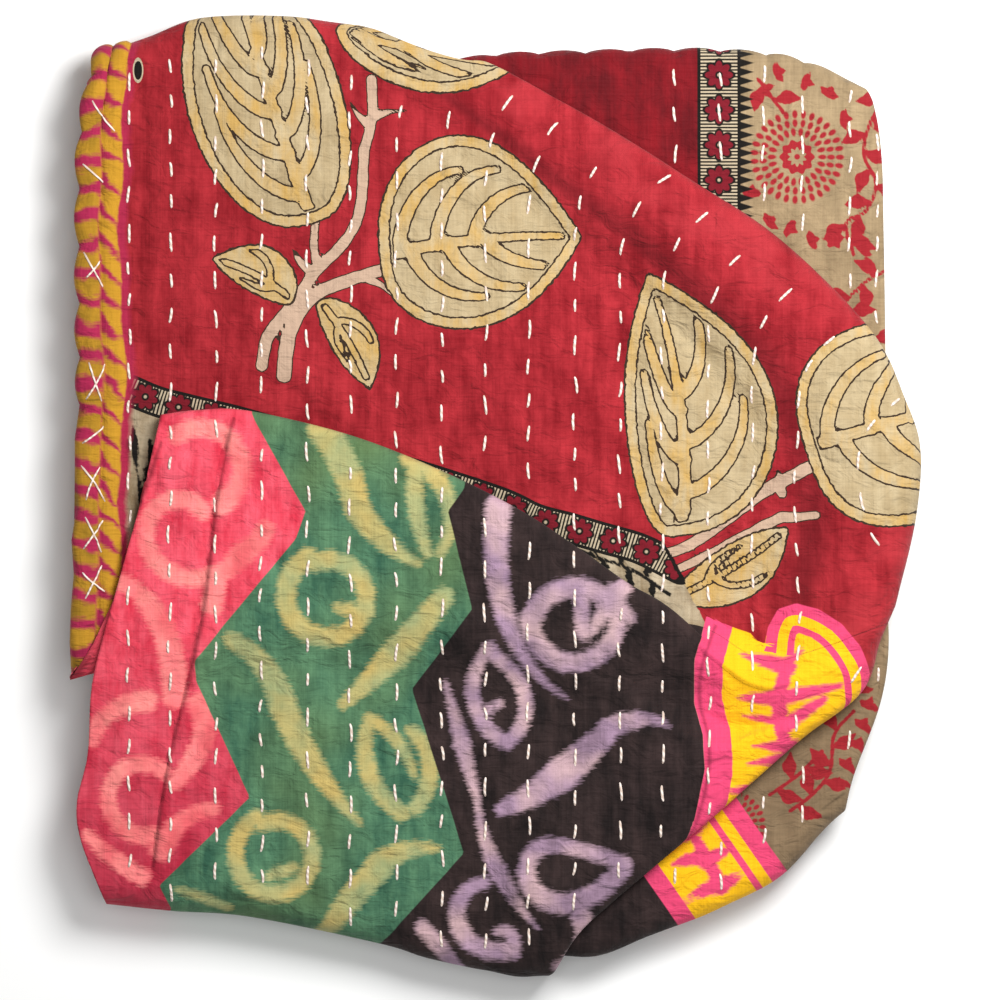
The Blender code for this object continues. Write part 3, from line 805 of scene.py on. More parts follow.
# The cream cloth: suns (centre, size), small three-lobed marks (place, heading) and leafy scrolls
SUNS = [(153.5, 169.0, 1.0), (119.0, -166.0, 0.8), (150.0, 20.0, 1.0)]
MARKS = [
    (143, 211, 20), (157, 207, -20), (169, 200, 60), (131, 150, 90), (139, 136, 40), (149, 134, -30),
    (160, 127, 20), (137, 203, -50), (176, 188, 0), (186, 122, 45), (172, 128, -60), (186, -98, 80),
    (189, -106, 70), (186, -116, 60), (184, -126, 70), (178, -136, 60), (172, -146, 60),
    (163, -108, 30),
]
SCROLLS = [
    [(134, 208), (140, 200), (147, 191)],
    [(199, 200), (190, 186), (187, 170), (193, 156), (188, 142), (178, 136), (182, 120)],
    [(198, 112), (187, 106), (178, 95), (186, 84), (196, 72)],
    [(150, -158), (161, -150), (170, -138), (172, -120), (182, -108)],
    [(140, -150), (154, -140), (166, -128)],
]


def to_segment(x, y, start, end):
    """Share of a segment where it comes nearest to each place, and the way from there to the place."""
    dx, dy = end - start
    from_x, from_y = x - start[0], y - start[1]
    share = np.clip((from_x * dx + from_y * dy) / (dx * dx + dy * dy), 0, 1)
    return share, from_x - share * dx, from_y - share * dy


def along_line(points, x, y, angular=False):
    """Signed distance right of an open line, and the way along it, both in mm."""
    p = np.array(points, float) if angular else Line(points, 8).points
    p = np.vstack([2 * p[0] - p[1], p, 2 * p[-1] - p[-2]])
    run = 0.0
    nearest, side, way = np.full(x.shape, np.inf), np.zeros(x.shape), np.zeros(x.shape)
    for start, end in zip(p, p[1:]):
        share, off_x, off_y = to_segment(x, y, start, end)
        length = np.linalg.norm(end - start)
        dx, dy = (end - start) / length
        gap, turn = np.hypot(off_x, off_y), dy * off_x - dx * off_y
        same = np.abs(gap - nearest) < 1e-6
        closer = (gap < nearest) & ~same | same & (np.abs(turn) > np.abs(side))
        nearest = np.where(closer, gap, nearest)
        side = np.where(closer, turn, side)
        way = np.where(closer, run + share * length, way)
        run += length
    return np.sign(side) * nearest, way


def in_shape(outline, x, y):
    """How far inside a closed outline each place is, in mm; negative outside."""
    nearest, inside = np.full(x.shape, np.inf), np.zeros(x.shape, bool)
    for start, end in zip(outline, np.roll(outline, -1, axis=0)):
        nearest = np.minimum(nearest, np.hypot(*to_segment(x, y, start, end)[1:]))
        dx, dy = end - start
        crossed = (start[1] > y) != (end[1] > y)
        inside ^= crossed & (x < start[0] + (y - start[1]) * dx / (dy if dy else 1.0))
    return np.where(inside, nearest, -nearest)


def in_strokes(strokes, x, y):
    """How far inside the deepest of some strokes each place is, in mm; at least FAR_OUT below 0.

    A stroke is its points and the half width at each of them.
    """
    deepest = np.full(x.shape, -FAR_OUT)
    for points, half in strokes:
        low, high = points.min(0) - FAR_OUT, points.max(0) + FAR_OUT
        near = (x > low[0]) & (x < high[0]) & (y > low[1]) & (y < high[1])
        px, py = x[near], y[near]
        best = deepest[near]
        for start, end, first, last in zip(points, points[1:], half, half[1:]):
            share, off_x, off_y = to_segment(px, py, start, end)
            best = np.maximum(best, first + (last - first) * share - np.hypot(off_x, off_y))
        deepest[near] = best
    return deepest


def tapered(rows):
    """Strokes from rows of half width at each end and a few points."""
    for first, last, points in rows:
        p = Line(points, 4)
        yield p.points, first + (last - first) * p.share


def brushed(rows):
    """Strokes from rows that say how a brush moved."""
    u = (np.arange(BRUSH_STEPS) + 0.5) / BRUSH_STEPS
    share = np.arange(BRUSH_STEPS + 1) / BRUSH_STEPS
    for x, y, length, heading, turn, late, first, middle, last in rows:
        angle = np.radians(heading + turn * (u + late * (u * u - u)))
        step = np.column_stack([np.cos(angle), np.sin(angle)]) * length / BRUSH_STEPS
        points = np.vstack([(x, y), (x, y) + np.cumsum(step, 0)])
        half = np.interp(share, (0, 0.5, 1), (first, middle, last))
        yield points, half


def leaf_outline(leaf):
    """The closed outline of a leaf, and the frame that it is drawn in."""
    base_x, base_y, tip_x, tip_y, left, right, widest, _ = leaf
    base, tip = np.array((base_x, base_y), float), np.array((tip_x, tip_y), float)
    t = (1 - np.cos(np.linspace(0, np.pi, LEAF_POINTS))) / 2
    full = leaf_width(t, widest)
    across = np.array((base_y - tip_y, tip_x - base_x)) / np.linalg.norm(tip - base)
    one = base + (tip - base) * t[:, None] + across * (left * full)[:, None]
    other = base + (tip - base) * t[:, None] - across * (right * full)[:, None]
    return np.vstack([one, other[-2:0:-1]]), base, tip, across


def leaf_width(t, widest):
    """Width of a leaf at a share of its length: round at the base, drawn to a point at the tip."""
    power = np.log(0.5) / np.log(widest)
    return np.sin(np.pi * np.clip(t, 1e-6, 1) ** power) ** (0.5 + 0.35 * t**2)


def leaf_veins(leaf):
    """Strokes of a leaf's midrib and side veins."""
    _, base, tip, across = leaf_outline(leaf)
    left, right, widest, count = leaf[4:]
    thin = count == 0

    def at(t, side):
        middle = (left - right) * 0.25 * leaf_width(np.clip(t, 0, 1), widest)
        return base + (tip - base) * t + across * (middle + side)

    rib = np.array([at(t, 0.0) for t in np.linspace(0.02, 0.90, 10)])
    yield rib, np.full(10, 1.7) if thin else np.linspace(3.4, 1.8, 10)
    for k in range(count or 1):
        start = 0.26 if thin else 0.10 + 0.56 * k / count
        for sign, reach, lag in ((1, left, 0.0), (-1, right, 0.06)):
            ahead = min(start + lag + 0.26, 0.92)
            spare = (reach - (right if sign > 0 else left)) * 0.25
            out = 0.78 * ((reach - spare) * leaf_width(ahead, widest) - (1 if thin else 7))
            if out < 4 and not thin:
                continue
            u = np.linspace(0, 1, 9)
            rise = min(0.34, 0.94 - start - lag)
            vein = np.array([
                at(start + lag + rise * v**1.5, sign * out * np.sin(np.pi / 2 * v) ** 0.9) for v in u
            ])
            yield vein, np.full(9, 1.7) if thin else 3.7 - 1.8 * u**1.5


def red_print(x, y):
    """Depths inside the leaves, their veins and the stems of the red cloth."""
    leaf = np.full(x.shape, -FAR_OUT)
    vein = leaf.copy()
    for row in LEAVES:
        depth = in_shape(leaf_outline(row)[0], x, y)
        rim = RIM if row[-1] else 1.0
        own = np.minimum(in_strokes(leaf_veins(row), x, y), depth - rim - 1.5)
        vein = np.where(depth > 0, own, vein)
        leaf = np.maximum(leaf, np.minimum(depth, RIM - 1.2) if row[-1] == 0 else depth)
    return leaf, vein, in_strokes(tapered(STEMS), x, y)


def sprig(points, pitch, leaf, fat):
    """A printed sprig: a thin stem with leaves on both sides in turn, a pitch apart.

    Each is leaf mm long and fat mm to either side of its middle.
    """
    stem = Line(points, 6)
    yield stem.points, np.full(len(stem.points), 0.9)
    length = np.linalg.norm(np.diff(stem.points, axis=0), axis=1).sum()
    for k in range(int(length / pitch)):
        at = (k + 0.5) * pitch / length
        here, ahead = stem(at), stem(at + 0.02)
        forward = unit(ahead - here)
        side = np.array((-forward[1], forward[0])) * (1 if k % 2 else -1)
        end = here + (0.55 * forward + 0.83 * side) * leaf
        bend = here + (0.2 * forward + 0.45 * side) * leaf
        yield np.array([here, bend, end]), np.array([0.6, fat, 0.5])


def three_lobed(x, y, heading):
    """A printed mark of three short lobes."""
    for turn in (-70, 0, 70):
        angle = np.radians(heading + turn)
        way = np.array((np.cos(angle), np.sin(angle)))
        yield np.array([(x, y), (x, y) + 2.6 * way, (x, y) + 5.4 * way]), np.array([1.3, 1.9, 0.4])


def cream_print(x, y):
    """Depth inside the red marks and scrolls of the cream cloth."""
    strokes = [s for points in SCROLLS for s in sprig(points, 9.0, 13.5, 3.7)]
    strokes += [s for mark in MARKS for s in three_lobed(*mark)]
    return in_strokes(strokes, x, y)


def linear(hex_colour):
    """An sRGB hex colour as linear red, green, blue and alpha."""
    parts = [int(hex_colour[k:k + 2], 16) / 255 for k in (1, 3, 5)]
    return [c / 12.92 if c <= 0.04045 else ((c + 0.055) / 1.055) ** 2.4 for c in parts] + [1.0]


def relief(x, y):
    """Height that creases, tucks and a soft unevenness add to the upper layers, in mm.

    Long low waves and short crinkles, about 80 mm and 30 mm long, run both ways through each other.
    """
    height = 0.60 * np.sin(x / 13 + 1.3 * np.sin(y / 47)) * np.sin(y / 29 + 0.8)
    height += 0.50 * np.sin((x + y) / 9.5 + 2 * np.sin(y / 33)) * np.sin(x / 41 + 1.1)
    height += 0.38 * np.sin(y / 5.2 + 1.7 * np.sin(x / 19)) * np.sin(x / 8.3 + 1.4 * np.sin(y / 23))
    for points, depth, width in CREASES:
        off, way = along_line(points, x, y)
        fade = smooth(way / 14) * smooth((way.max() - way) / 14)
        height += depth * fade * np.exp(-((off / width) ** 2))
    height = np.clip(height, -1.7, 1.3)
    for points, step, width in TUCKS:
        off, way = along_line(points, x, y)
        fade = smooth(way / 18) * smooth((way.max() - way) / 18)
        height += step * fade * np.where(off < 0, np.exp(-((off / width) ** 2)), 0.0)
    return height


def tucked(x, y):
    """Distance right of the nearest tuck, in mm."""
    nearest = np.full(x.shape, NOWHERE)
    for points, _, _ in TUCKS:
        off, way = along_line(points, x, y)
        off = np.where((way > 6) & (way < way.max() - 6), off, NOWHERE)
        nearest = np.where(np.abs(off) < np.abs(nearest), off, nearest)
    return nearest


def swelling(x, y, part, from_ridge):
    """Height of the soft swellings between the valleys of the loose sheet, in mm."""
    from_roll = -along_line(ROLL, x, y)[0]
    upper = np.zeros_like(x)
    for middle_x, middle_y, height, half_length, half_width, heading in SWELLS:
        turn = np.radians(heading)
        dx, dy = x - middle_x, y - middle_y
        along = (dx * np.cos(turn) + dy * np.sin(turn)) / half_length
        aside = (dy * np.cos(turn) - dx * np.sin(turn)) / half_width
        upper += height * np.exp(-(along**2) - aside**2)
    upper *= smooth((from_roll - 4) / 30) * smooth(from_ridge / 30)
    flap = FLAP_SWELL * (1 + np.sin(x / 17 + 0.4 * np.sin(y / 31)) * np.cos(y / 29 + x / 60))
    flap *= smooth((-from_roll - 6) / 25) * smooth((y + 225) / 25) * smooth(from_ridge / 20)
    return np.where(part > 0.5, flap, upper)


def quilting(rows, along):
    """The channels that rows of stitches pull into the cloth, and the puckers across them."""
    from_row = np.abs(rows - np.round(rows)) * in_mm("row_pitch")
    channel = -CHANNEL[0] * np.exp(-((from_row / CHANNEL[1]) ** 2))
    stitch = 2 * np.pi / (in_mm("stitch") + in_mm("gap"))
    wave = np.sin(stitch * along + 2.1 * np.round(rows))
    return channel + PUCKER[0] * wave * np.exp(-((from_row / PUCKER[1]) ** 2))


def unrolled(points, plan, edge, towards, axis, count):
    """Rolls the grid out level past one line of it, so that patterns run on round a fold."""
    points, plan = np.moveaxis(points, axis, 0), np.moveaxis(plan, axis, 0)
    way = unit(plan[edge] - plan[edge - 3 * towards])
    gone = np.zeros(points.shape[1])
    for k in range(1, count + 1):
        here = edge + k * towards
        gone = gone + np.linalg.norm(points[here] - points[here - towards], axis=-1)
        plan[here] = plan[edge] + way * gone[:, None]


def measured(points, axis):
    """Way along the grid's lines from their first point, in mm."""
    step = np.linalg.norm(np.diff(points, axis=axis), axis=-1)
    start = np.zeros_like(np.take(step, [0], axis))
    return np.concatenate([start, np.cumsum(step, axis)], axis)


def normals(mid):
    """Which way each place of a folded grid faces outwards."""
    return unit(np.cross(np.gradient(mid, axis=0), np.gradient(mid, axis=1)))


def add_cloth(name, mid, half, attributes):
    """A closed sheet: every middle point carries an outer one, and each fourth an inner one.

    Each attribute is three numbers for each middle point, which the finish reads.
    """
    normal = normals(mid)
    outer = mid + normal * half[..., None]
    inner = (mid - normal * half[..., None])[::4, ::4]
    rows, cols = mid.shape[:2]
    number = np.arange(rows * cols).reshape(rows, cols)
    coarse = np.arange(inner.shape[0] * inner.shape[1]).reshape(inner.shape[:2]) + rows * cols
    faces = np.stack([number[:-1, :-1], number[1:, :-1], number[1:, 1:], number[:-1, 1:]], -1)
    faces = faces.reshape(-1, 4).tolist()
    back = np.stack([coarse[:-1, :-1], coarse[:-1, 1:], coarse[1:, 1:], coarse[1:, :-1]], -1)
    faces += back.reshape(-1, 4).tolist()
    for edge, turn in ((np.s_[0, :], 1), (np.s_[-1, :], -1), (np.s_[:, 0], -1), (np.s_[:, -1], 1)):
        fine, rough = number[edge], coarse[edge]
        for k in range(len(rough) - 1):
            ring = fine[4 * k:4 * k + 5].tolist() + [rough[k + 1], rough[k]]
            faces.append(ring[::turn])
    points = np.concatenate([outer.reshape(-1, 3), inner.reshape(-1, 3)]) - ORIGIN
    mesh = bpy.data.meshes.new(name)
    mesh.from_pydata((points * MM).tolist(), [], faces)
    mesh.shade_smooth()
    for label, three in attributes.items():
        values = np.stack(np.broadcast_arrays(*three), -1)
        layer = mesh.attributes.new(label, "FLOAT_VECTOR", "POINT")
        flat = np.concatenate([values.reshape(-1, 3), values[::4, ::4].reshape(-1, 3)])
        layer.data.foreach_set("vector", flat.astype(np.float32).ravel())
    return placed(name, mesh)


def placed(name, mesh):
    """Adds an object that holds this mesh, light or camera."""
    item = bpy.data.objects.new(name, mesh)
    bpy.context.collection.objects.link(item)
    return item


def sheet_rows(x, y, part):
    """Which row of stitches each place of the top sheet lies on; whole numbers are rows."""
    off, _ = along_line(RIDGE, x, y)
    near_ridge = np.maximum(ROW_BEND - np.maximum(off, 0), 0)
    lean = 0.6 + 0.6 * smooth((x + 20) / 180)
    upper = x - 0.5 * lean * near_ridge**2 / ROW_BEND
    tilt = 0.16 * (1 - smooth((x + 20) / 40))
    flap = x - tilt * (y + 80)
    pitch = in_mm("row_pitch")
    return (np.where(part > 0.5, flap, upper) - FIRST_ROW) / pitch


def packet_rows(x):
    """Which row of stitches each place of the packet lies on, counted from the first one seen."""
    return np.interp(x, (-200.0, *BASE_ROWS), (-12, *range(len(BASE_ROWS))))


def folded_packet():
    """The doubled quilt in its four runs, with relief on top and the marks for its patterns."""
    mid = packet(PACKET_SHARES, RUN_ROWS, PACKET_FOLD, PACKET_TURN)
    flat = len(PACKET_SHARES)
    first = len(mid) - PACKET_FOLD // 2 - 3 - RUN_ROWS[-1] + 2
    last = len(mid) - PACKET_FOLD // 2 - 4
    x, y = mid[..., 0], mid[..., 1]
    top = np.zeros(x.shape)
    top[first:last + 1, :flat] = 1
    rise = relief(x, y) * smooth((215 - np.abs(y)) / 25) * smooth((195 - np.abs(x)) / 20)
    rise += quilting(packet_rows(x), y) * (x > 60) * smooth((218 - np.abs(y)) / 12)
    mid[..., 2] += top * rise
    pinch = 1 - np.abs(np.sin(np.pi * packet_rows(x))) ** 0.6
    mid[..., 1] -= BACK_PINCH * pinch * smooth((y - 205) / 14)
    plan = mid[..., :2].copy()
    unrolled(mid, plan, first, -1, 0, first)
    unrolled(mid, plan, flat - 1, 1, 1, mid.shape[1] - flat)
    x, y = plan[..., 0], plan[..., 1]
    start_x, start_y, way_x, way_y = LOWER_STRIP
    lower = (mid[..., 0] - start_x) * way_x + (mid[..., 1] - start_y) * way_y
    front = LOWER_STRIP_BACK - mid[..., 1]
    x = np.where(np.arange(len(mid))[:, None] < first, mid[..., 0], x)
    suns = np.array([((x - sx) / scale, (y - sy) / scale) for sx, sy, scale in SUNS])
    nearest = np.argmin(np.hypot(suns[:, 0], suns[:, 1]), 0)
    sun_x, sun_y = (np.take_along_axis(suns[:, k], nearest[None], 0)[0] for k in (0, 1))
    along = np.broadcast_to(measured(mid, 0)[:, :1], x.shape)
    flames = in_strokes(brushed(LOWER_FLAMES), mid[..., 0], mid[..., 1])
    return add_cloth("folded_packet", mid, np.full(x.shape, HALF), {
        "plan": (x, y, 0.0),
        "print": (cream_print(x, y), flames, front),
        "sun": (sun_x, sun_y, lower),
        "hem": (measured(mid, 1), along, 0.0),
    })


def sheet_plan(mid):
    """Where the loose sheet's patterns are drawn: the cloth round each fold, rolled out level."""
    plan = mid[..., :2].copy()
    rolled = plan.copy()
    unrolled(mid, rolled, CROWN_ROW, -1, 0, 2 * SHEET_PLEAT)
    back = np.interp(mid[..., 0], PLEAT_FADE, (1, 0))[..., None]
    under = np.s_[INNER_ROW:CROWN_ROW]
    plan[under] = (back * rolled + (1 - back) * plan)[under]
    unrolled(mid, plan, SHEET_WRAP + 1, -1, 0, SHEET_WRAP + 1)
    unrolled(mid, plan, FLAP_END, 1, 0, len(mid) - 1 - FLAP_END)
    unrolled(mid, plan, SHEET_COLUMNS - 1, 1, 1, mid.shape[1] - SHEET_COLUMNS)
    return plan[..., 0], plan[..., 1]


def hem_forms(from_edge, along, on_hem):
    """How much the hem's rope and band are puffed, and how far the rope's lobes stand out, in mm."""
    lobe = np.abs(np.sin(np.pi * (along + 2.4 * np.sin(along / 31)) / SCALLOP))
    rope = np.sqrt(np.clip(1 - (from_edge / HEM_ROPE - 1) ** 2, 0, 1))
    over_band = (from_edge - HEM_ROPE * 2) / (HEM_WIDTH - HEM_ROPE * 2)
    band = np.sqrt(np.clip(1 - (over_band * 2 - 1) ** 2, 0, 1))
    tuck = 0.25 * np.sin((along - 0.75 * from_edge) * 2 * np.pi / HEM_FLAME)
    puff = HEM_ROPE_PUFF * rope * (0.45 + 0.55 * lobe) + (HEM_BAND_PUFF + tuck) * band
    out = SCALLOP_DEPTH * (lobe - 0.7) * smooth(1.3 - from_edge / HEM_ROPE / 2)
    return on_hem * puff, on_hem * out


def loose_sheet():
    """The quilt's last stretch, with its relief, its puffed hem and the marks for its patterns."""
    mid = settled(Sheet().grid(
        columns=SHEET_COLUMNS, per_wrap=SHEET_WRAP, per_upper=SHEET_UPPER, per_pleat=SHEET_PLEAT,
        per_flap=SHEET_FLAP, per_turn=SHEET_TURN, per_leg=SHEET_LEG,
    ))
    rows = np.arange(len(mid))[:, None]
    part = np.broadcast_to(rows >= INNER_ROW, mid.shape[:2]).astype(float)
    x, y = sheet_plan(mid)
    inwards, along = measured(mid, 1), np.broadcast_to(measured(mid, 0)[:, :1], x.shape)
    wander = 1.3 * np.sin(along / 17 + 1) + 0.9 * np.sin(along / 7.3)
    from_edge = inwards + wander * smooth(inwards / HEM_WIDTH)
    from_ridge = (inwards[:, SHEET_COLUMNS - 1:SHEET_COLUMNS] - inwards).clip(0)
    on_hem = (1 - part) * smooth((HEM_WIDTH - from_edge) / 3)
    puff, out = hem_forms(from_edge, along, on_hem)
    rise = quilting(sheet_rows(x, y, part), y) + swelling(mid[..., 0], mid[..., 1], part, from_ridge)
    rise = relief(mid[..., 0], mid[..., 1]) + rise * (1 - on_hem)
    mid[..., 2] += rise * ((rows > SHEET_WRAP) & (rows < FLAP_END + 3))
    mid[..., 0] -= out
    mid += normals(mid) * puff[..., None] / 2

    across, way = along_line(BORDER, x, y)
    foliage = in_strokes([s for points in SPRIGS for s in sprig(points, 7.0, 7.5, 2.0)], x, y)
    rim, rim_way = along_line(STRIP_RIM, x, y)
    on_rim = (rim_way > 2) & ((x > RIM_START[0]) | (y > RIM_START[1]))
    flames = in_strokes(brushed(STRIP_FLAMES), x, y)
    return add_cloth("loose_sheet", mid, HALF + puff / 2, {
        "plan": (x, y, part),
        "leaves": red_print(x, y),
        "border": (across, way, foliage),
        "seams": [-along_line(line, x, y, True)[0] for line in (CORAL_SEAM, GREEN_SEAM, BLACK_SEAM)],
        "ikat": [in_strokes(brushed(rows), x, y) for rows in (IKAT_CORAL, IKAT_GREEN, IKAT_BLACK)],
        "strip": (in_shape(np.array(STRIP, float), x, y), np.where(on_rim, rim, NOWHERE), flames),
        "hem": (np.where(part > 0.5, NOWHERE, from_edge), along, tucked(x, y)),
        # Distance from the ridge, for the painted shade and painted highlight beside it
        "ridge_light": (from_ridge, 0.0, 0.0),
    })


# ---- Finishes ---------------------------------------------------------------------------------

# How washing left the dye: clouds so many mm across, and streaks 7 mm by 28 mm along the warp;
# crinkles are about 13 mm by 8 mm
CLOUD = 34.0
STREAKS = (1 / 7, 1 / 28, 1.0)
CRINKLES = (1 / 13, 1 / 8, 1.0)

# Painted light and darkening: the way, in mm, at which it starts and at which it is full, and its full
# share. The valley by the ridge carries painted shade and the ridge's crown a painted highlight; the
# flap grows darker towards the front, and the cream carries painted shade towards the front, where
# the flap overhangs it.
VALLEY_SHADE_AT = 46.0
VALLEY_SHADE = (16.0, 0.0, 0.55)
CROWN_HIGHLIGHT = (34.0, 12.0, 0.8)
FLAP_DARKENING = (-70.0, -215.0, 0.75)
CREAM_PAINTED_SHADE = (-40.0, -130.0, 0.65)

# The shade beside a tuck: where it is darkest and where it ends, and how dark it is
TUCK_SHADE = (0.2, 1.5, 0.60)

# Tone and roughness of the weave, from its hollows to the tops of its threads: the tone is painted
# shade in the hollows and painted highlight on the tops
WEAVE_SHADE_AND_HIGHLIGHT = (0.91, 1.06)
WEAVE_ROUGHNESS = (0.96, 0.80)

# A small dark oval by the top of the hem, painted shade of a small hole with a pale rim: middle and
# half sizes
HOLE_SHADE = (-175.95, 212.3, 2.3, 5.5)


# Kinds of node
VECTOR_MATH = "ShaderNodeVectorMath"
COMBINE = "ShaderNodeCombineXYZ"
MAP_RANGE = "ShaderNodeMapRange"
MIX = "ShaderNodeMix"
NOISE = "ShaderNodeTexNoise"
BUMP = "ShaderNodeBump"
ATTRIBUTE = "ShaderNodeAttribute"


def add(tree, kind, inputs=(), **settings):
    """Adds a node of a kind, or a Math node where kind says what one does.

    Its inputs, by number or name, are values, other nodes or their sockets.
    """
    if not kind.startswith("ShaderNode"):
        kind, settings = "ShaderNodeMath", {"operation": kind}
    node = tree.nodes.new(kind)
    for name, value in settings.items():
        setattr(node, name, value)
    for key, value in (inputs if isinstance(inputs, dict) else dict(enumerate(inputs))).items():
        if isinstance(value, bpy.types.Node):
            value = next(socket for socket in value.outputs if socket.enabled)
        if isinstance(value, bpy.types.NodeSocket):
            tree.links.new(value, node.inputs[key])
        else:
            node.inputs[key].default_value = value
    return node


def new_material(name, settings):
    """A new material, its node tree and its shader, with what is the same all over set on that."""
    material = bpy.data.materials.new(name)
    material.use_nodes = True
    shader = material.node_tree.nodes["Principled BSDF"]
    for socket, value in settings.items():
        shader.inputs[socket].default_value = value
    return material, material.node_tree, shader


def marks(tree, name):
    """The three numbers that a mesh carries under this name."""
    held = add(tree, ATTRIBUTE, attribute_name=name)
    return add(tree, "ShaderNodeSeparateXYZ", (held.outputs["Vector"],)).outputs


def dye(tree, ground, colour, depth, soft=0.25):
    """Lays a colour over the ground wherever depth, in mm, is above zero."""
    share = add(tree, MAP_RANGE, {"Value": depth, "From Min": -soft, "From Max": soft})
    return add(tree, MIX, {0: share, 6: ground, 7: colour}, data_type="RGBA")


def ink(tree, ground, colour, depth, half, at=0.0):
    """Draws a line, half mm to each side, where depth is at."""
    share = add(tree, "COMPARE", (depth, at, half))
    return add(tree, MIX, {0: share, 6: ground, 7: colour}, data_type="RGBA")


def creeping(tree, plan, depth, amount, grain):
    """Depth with an edge that strays by up to half of amount mm, over grains of that many mm."""
    scaled = add(tree, VECTOR_MATH, (plan, [1 / g for g in grain]), operation="MULTIPLY")
    noise = add(tree, NOISE, {"Vector": scaled, "Scale": 1.0, "Detail": 2.0})
    stray = add(tree, "MULTIPLY_ADD", (noise, amount, depth))
    return add(tree, "SUBTRACT", (stray, amount / 2))


def woven(tree, plan):
    """Height of thick and thin threads that run both ways, about 1 halfway up.

    Sari cotton has about 20 threads a centimetre, which wouldn't show; these are 1 mm wide.
    """
    sets = []
    for stretch in ((1.0, 0.03, 1), (0.03, 1.0, 1)):
        lined = add(tree, VECTOR_MATH, (plan, stretch), operation="MULTIPLY")
        sets.append(add(tree, NOISE, {"Vector": lined, "Scale": 1.0, "Detail": 3.0}))
    return add(tree, "ADD", sets)


def faded(tree, plan, deep, light):
    """A ground dye that washing has lightened in clouds, in streaks along the warp and in flecks."""
    clouds = add(tree, NOISE, {"Vector": plan, "Scale": 1 / CLOUD, "Detail": 6.0, "Roughness": 0.65})
    along = add(tree, VECTOR_MATH, (plan, STREAKS), operation="MULTIPLY")
    streaks = add(tree, NOISE, {"Vector": along, "Scale": 1.0, "Detail": 4.0, "Roughness": 0.6})
    share = add(tree, "ADD", (clouds, streaks))
    share = add(tree, MAP_RANGE, {"Value": share, "From Min": 0.80, "From Max": 1.22})
    return add(tree, MIX, {0: share, 6: deep, 7: light}, data_type="RGBA")


def clouded(tree, plan, ground, colour, span, most):
    """Another tone in soft clouds span mm across, up to a share of most."""
    clouds = add(tree, NOISE, {"Vector": plan, "Scale": 1 / span, "Detail": 2.0})
    share = add(tree, MAP_RANGE, {"Value": clouds, "From Min": 0.42, "From Max": 0.66, "To Max": most})
    return add(tree, MIX, {0: share, 6: ground, 7: colour}, data_type="RGBA")


def border_band(tree, ground, across, along, half, petal, cut=None):
    """A woven edge: fine cross stripes between two black lines, with a row of small flowers."""
    look = colours()
    off = add(tree, "ABSOLUTE", (across,))
    inner = add(tree, "SUBTRACT", (half, off))
    if cut is not None:
        inner = add(tree, "MINIMUM", (inner, cut))
    colour = dye(tree, ground, look.ecru, inner)
    zigzag = add(tree, "PINGPONG", (along, STRIPE_PITCH / 2))
    stripe = add(tree, "SUBTRACT", (STRIPE_HALF, zigzag))
    inside = add(tree, "MINIMUM", (stripe, inner))
    colour = dye(tree, colour, look.black, inside, 0.12)
    half_pitch = FLOWER_PITCH / 2
    local = add(tree, "WRAP", (along, half_pitch, -half_pitch))
    place = add(tree, COMBINE, (across, local))
    radius = add(tree, VECTOR_MATH, (place,), operation="LENGTH")
    angle = add(tree, "ARCTAN2", (across, local))
    turns = add(tree, "MULTIPLY", (angle, 4.0))
    swing = add(tree, "COSINE", (turns,))
    lobes = add(tree, "ABSOLUTE", (swing,))
    reach = add(tree, "MULTIPLY_ADD", (lobes, 0.32 * petal, 0.68 * petal))
    flower = add(tree, "SUBTRACT", (reach, radius))
    flower = add(tree, "MINIMUM", (flower, inner))
    outlined = add(tree, "ADD", (flower, FLOWER_OUTLINE))
    colour = dye(tree, colour, look.black, outlined)
    colour = dye(tree, colour, look.maroon, flower)
    for half_size, tone in ((FLOWER_HEART, look.black), (FLOWER_EYE, look.ecru)):
        heart = add(tree, "SUBTRACT", (half_size, radius))
        heart = add(tree, "MINIMUM", (heart, inner))
        colour = dye(tree, colour, tone, heart)
    return ink(tree, colour, look.black, inner, BORDER_LINE)


def cloth_finish(name, tree_colour):
    """Old sari cotton, hand-woven and washed soft.

    It is matt all over, rougher between the threads than on them, with painted shade between the
    threads and painted highlight on their tops, uneven from thick and thin threads, crinkled by
    washing, and its loose fibres give a faint bloom at a low angle.
    """
    material, tree, shader = new_material(name, {
        "Specular IOR Level": 0.15, "Sheen Weight": 0.06, "Sheen Roughness": 0.5,
    })
    plan = add(tree, ATTRIBUTE, attribute_name="plan").outputs["Vector"]
    height = woven(tree, plan)
    # Painted shade in the weave's hollows and painted highlight on the tops of its threads
    shade, rough = (
        add(tree, MAP_RANGE, {"Value": height, "From Min": 0.7, "From Max": 1.3,
                              "To Min": low, "To Max": high})
        for low, high in (WEAVE_SHADE_AND_HIGHLIGHT, WEAVE_ROUGHNESS)
    )
    colour = add(tree, MIX, {0: 1.0, 6: tree_colour(tree, plan), 7: shade}, data_type="RGBA",
                 blend_type="MULTIPLY")
    folds = add(tree, VECTOR_MATH, (plan, CRINKLES), operation="MULTIPLY")
    crinkle = add(tree, NOISE, {"Vector": folds, "Scale": 1.0, "Detail": 3.0, "Distortion": 0.8})
    soft = add(tree, BUMP, {"Height": crinkle, "Strength": 0.8, "Distance": 0.0035})
    bump = add(tree, BUMP, {"Height": height, "Strength": 0.45, "Distance": 0.0005, "Normal": soft})
    tree.links.new(colour.outputs[2], shader.inputs["Base Color"])
    tree.links.new(rough.outputs[0], shader.inputs["Roughness"])
    tree.links.new(bump.outputs[0], shader.inputs["Normal"])
    return material


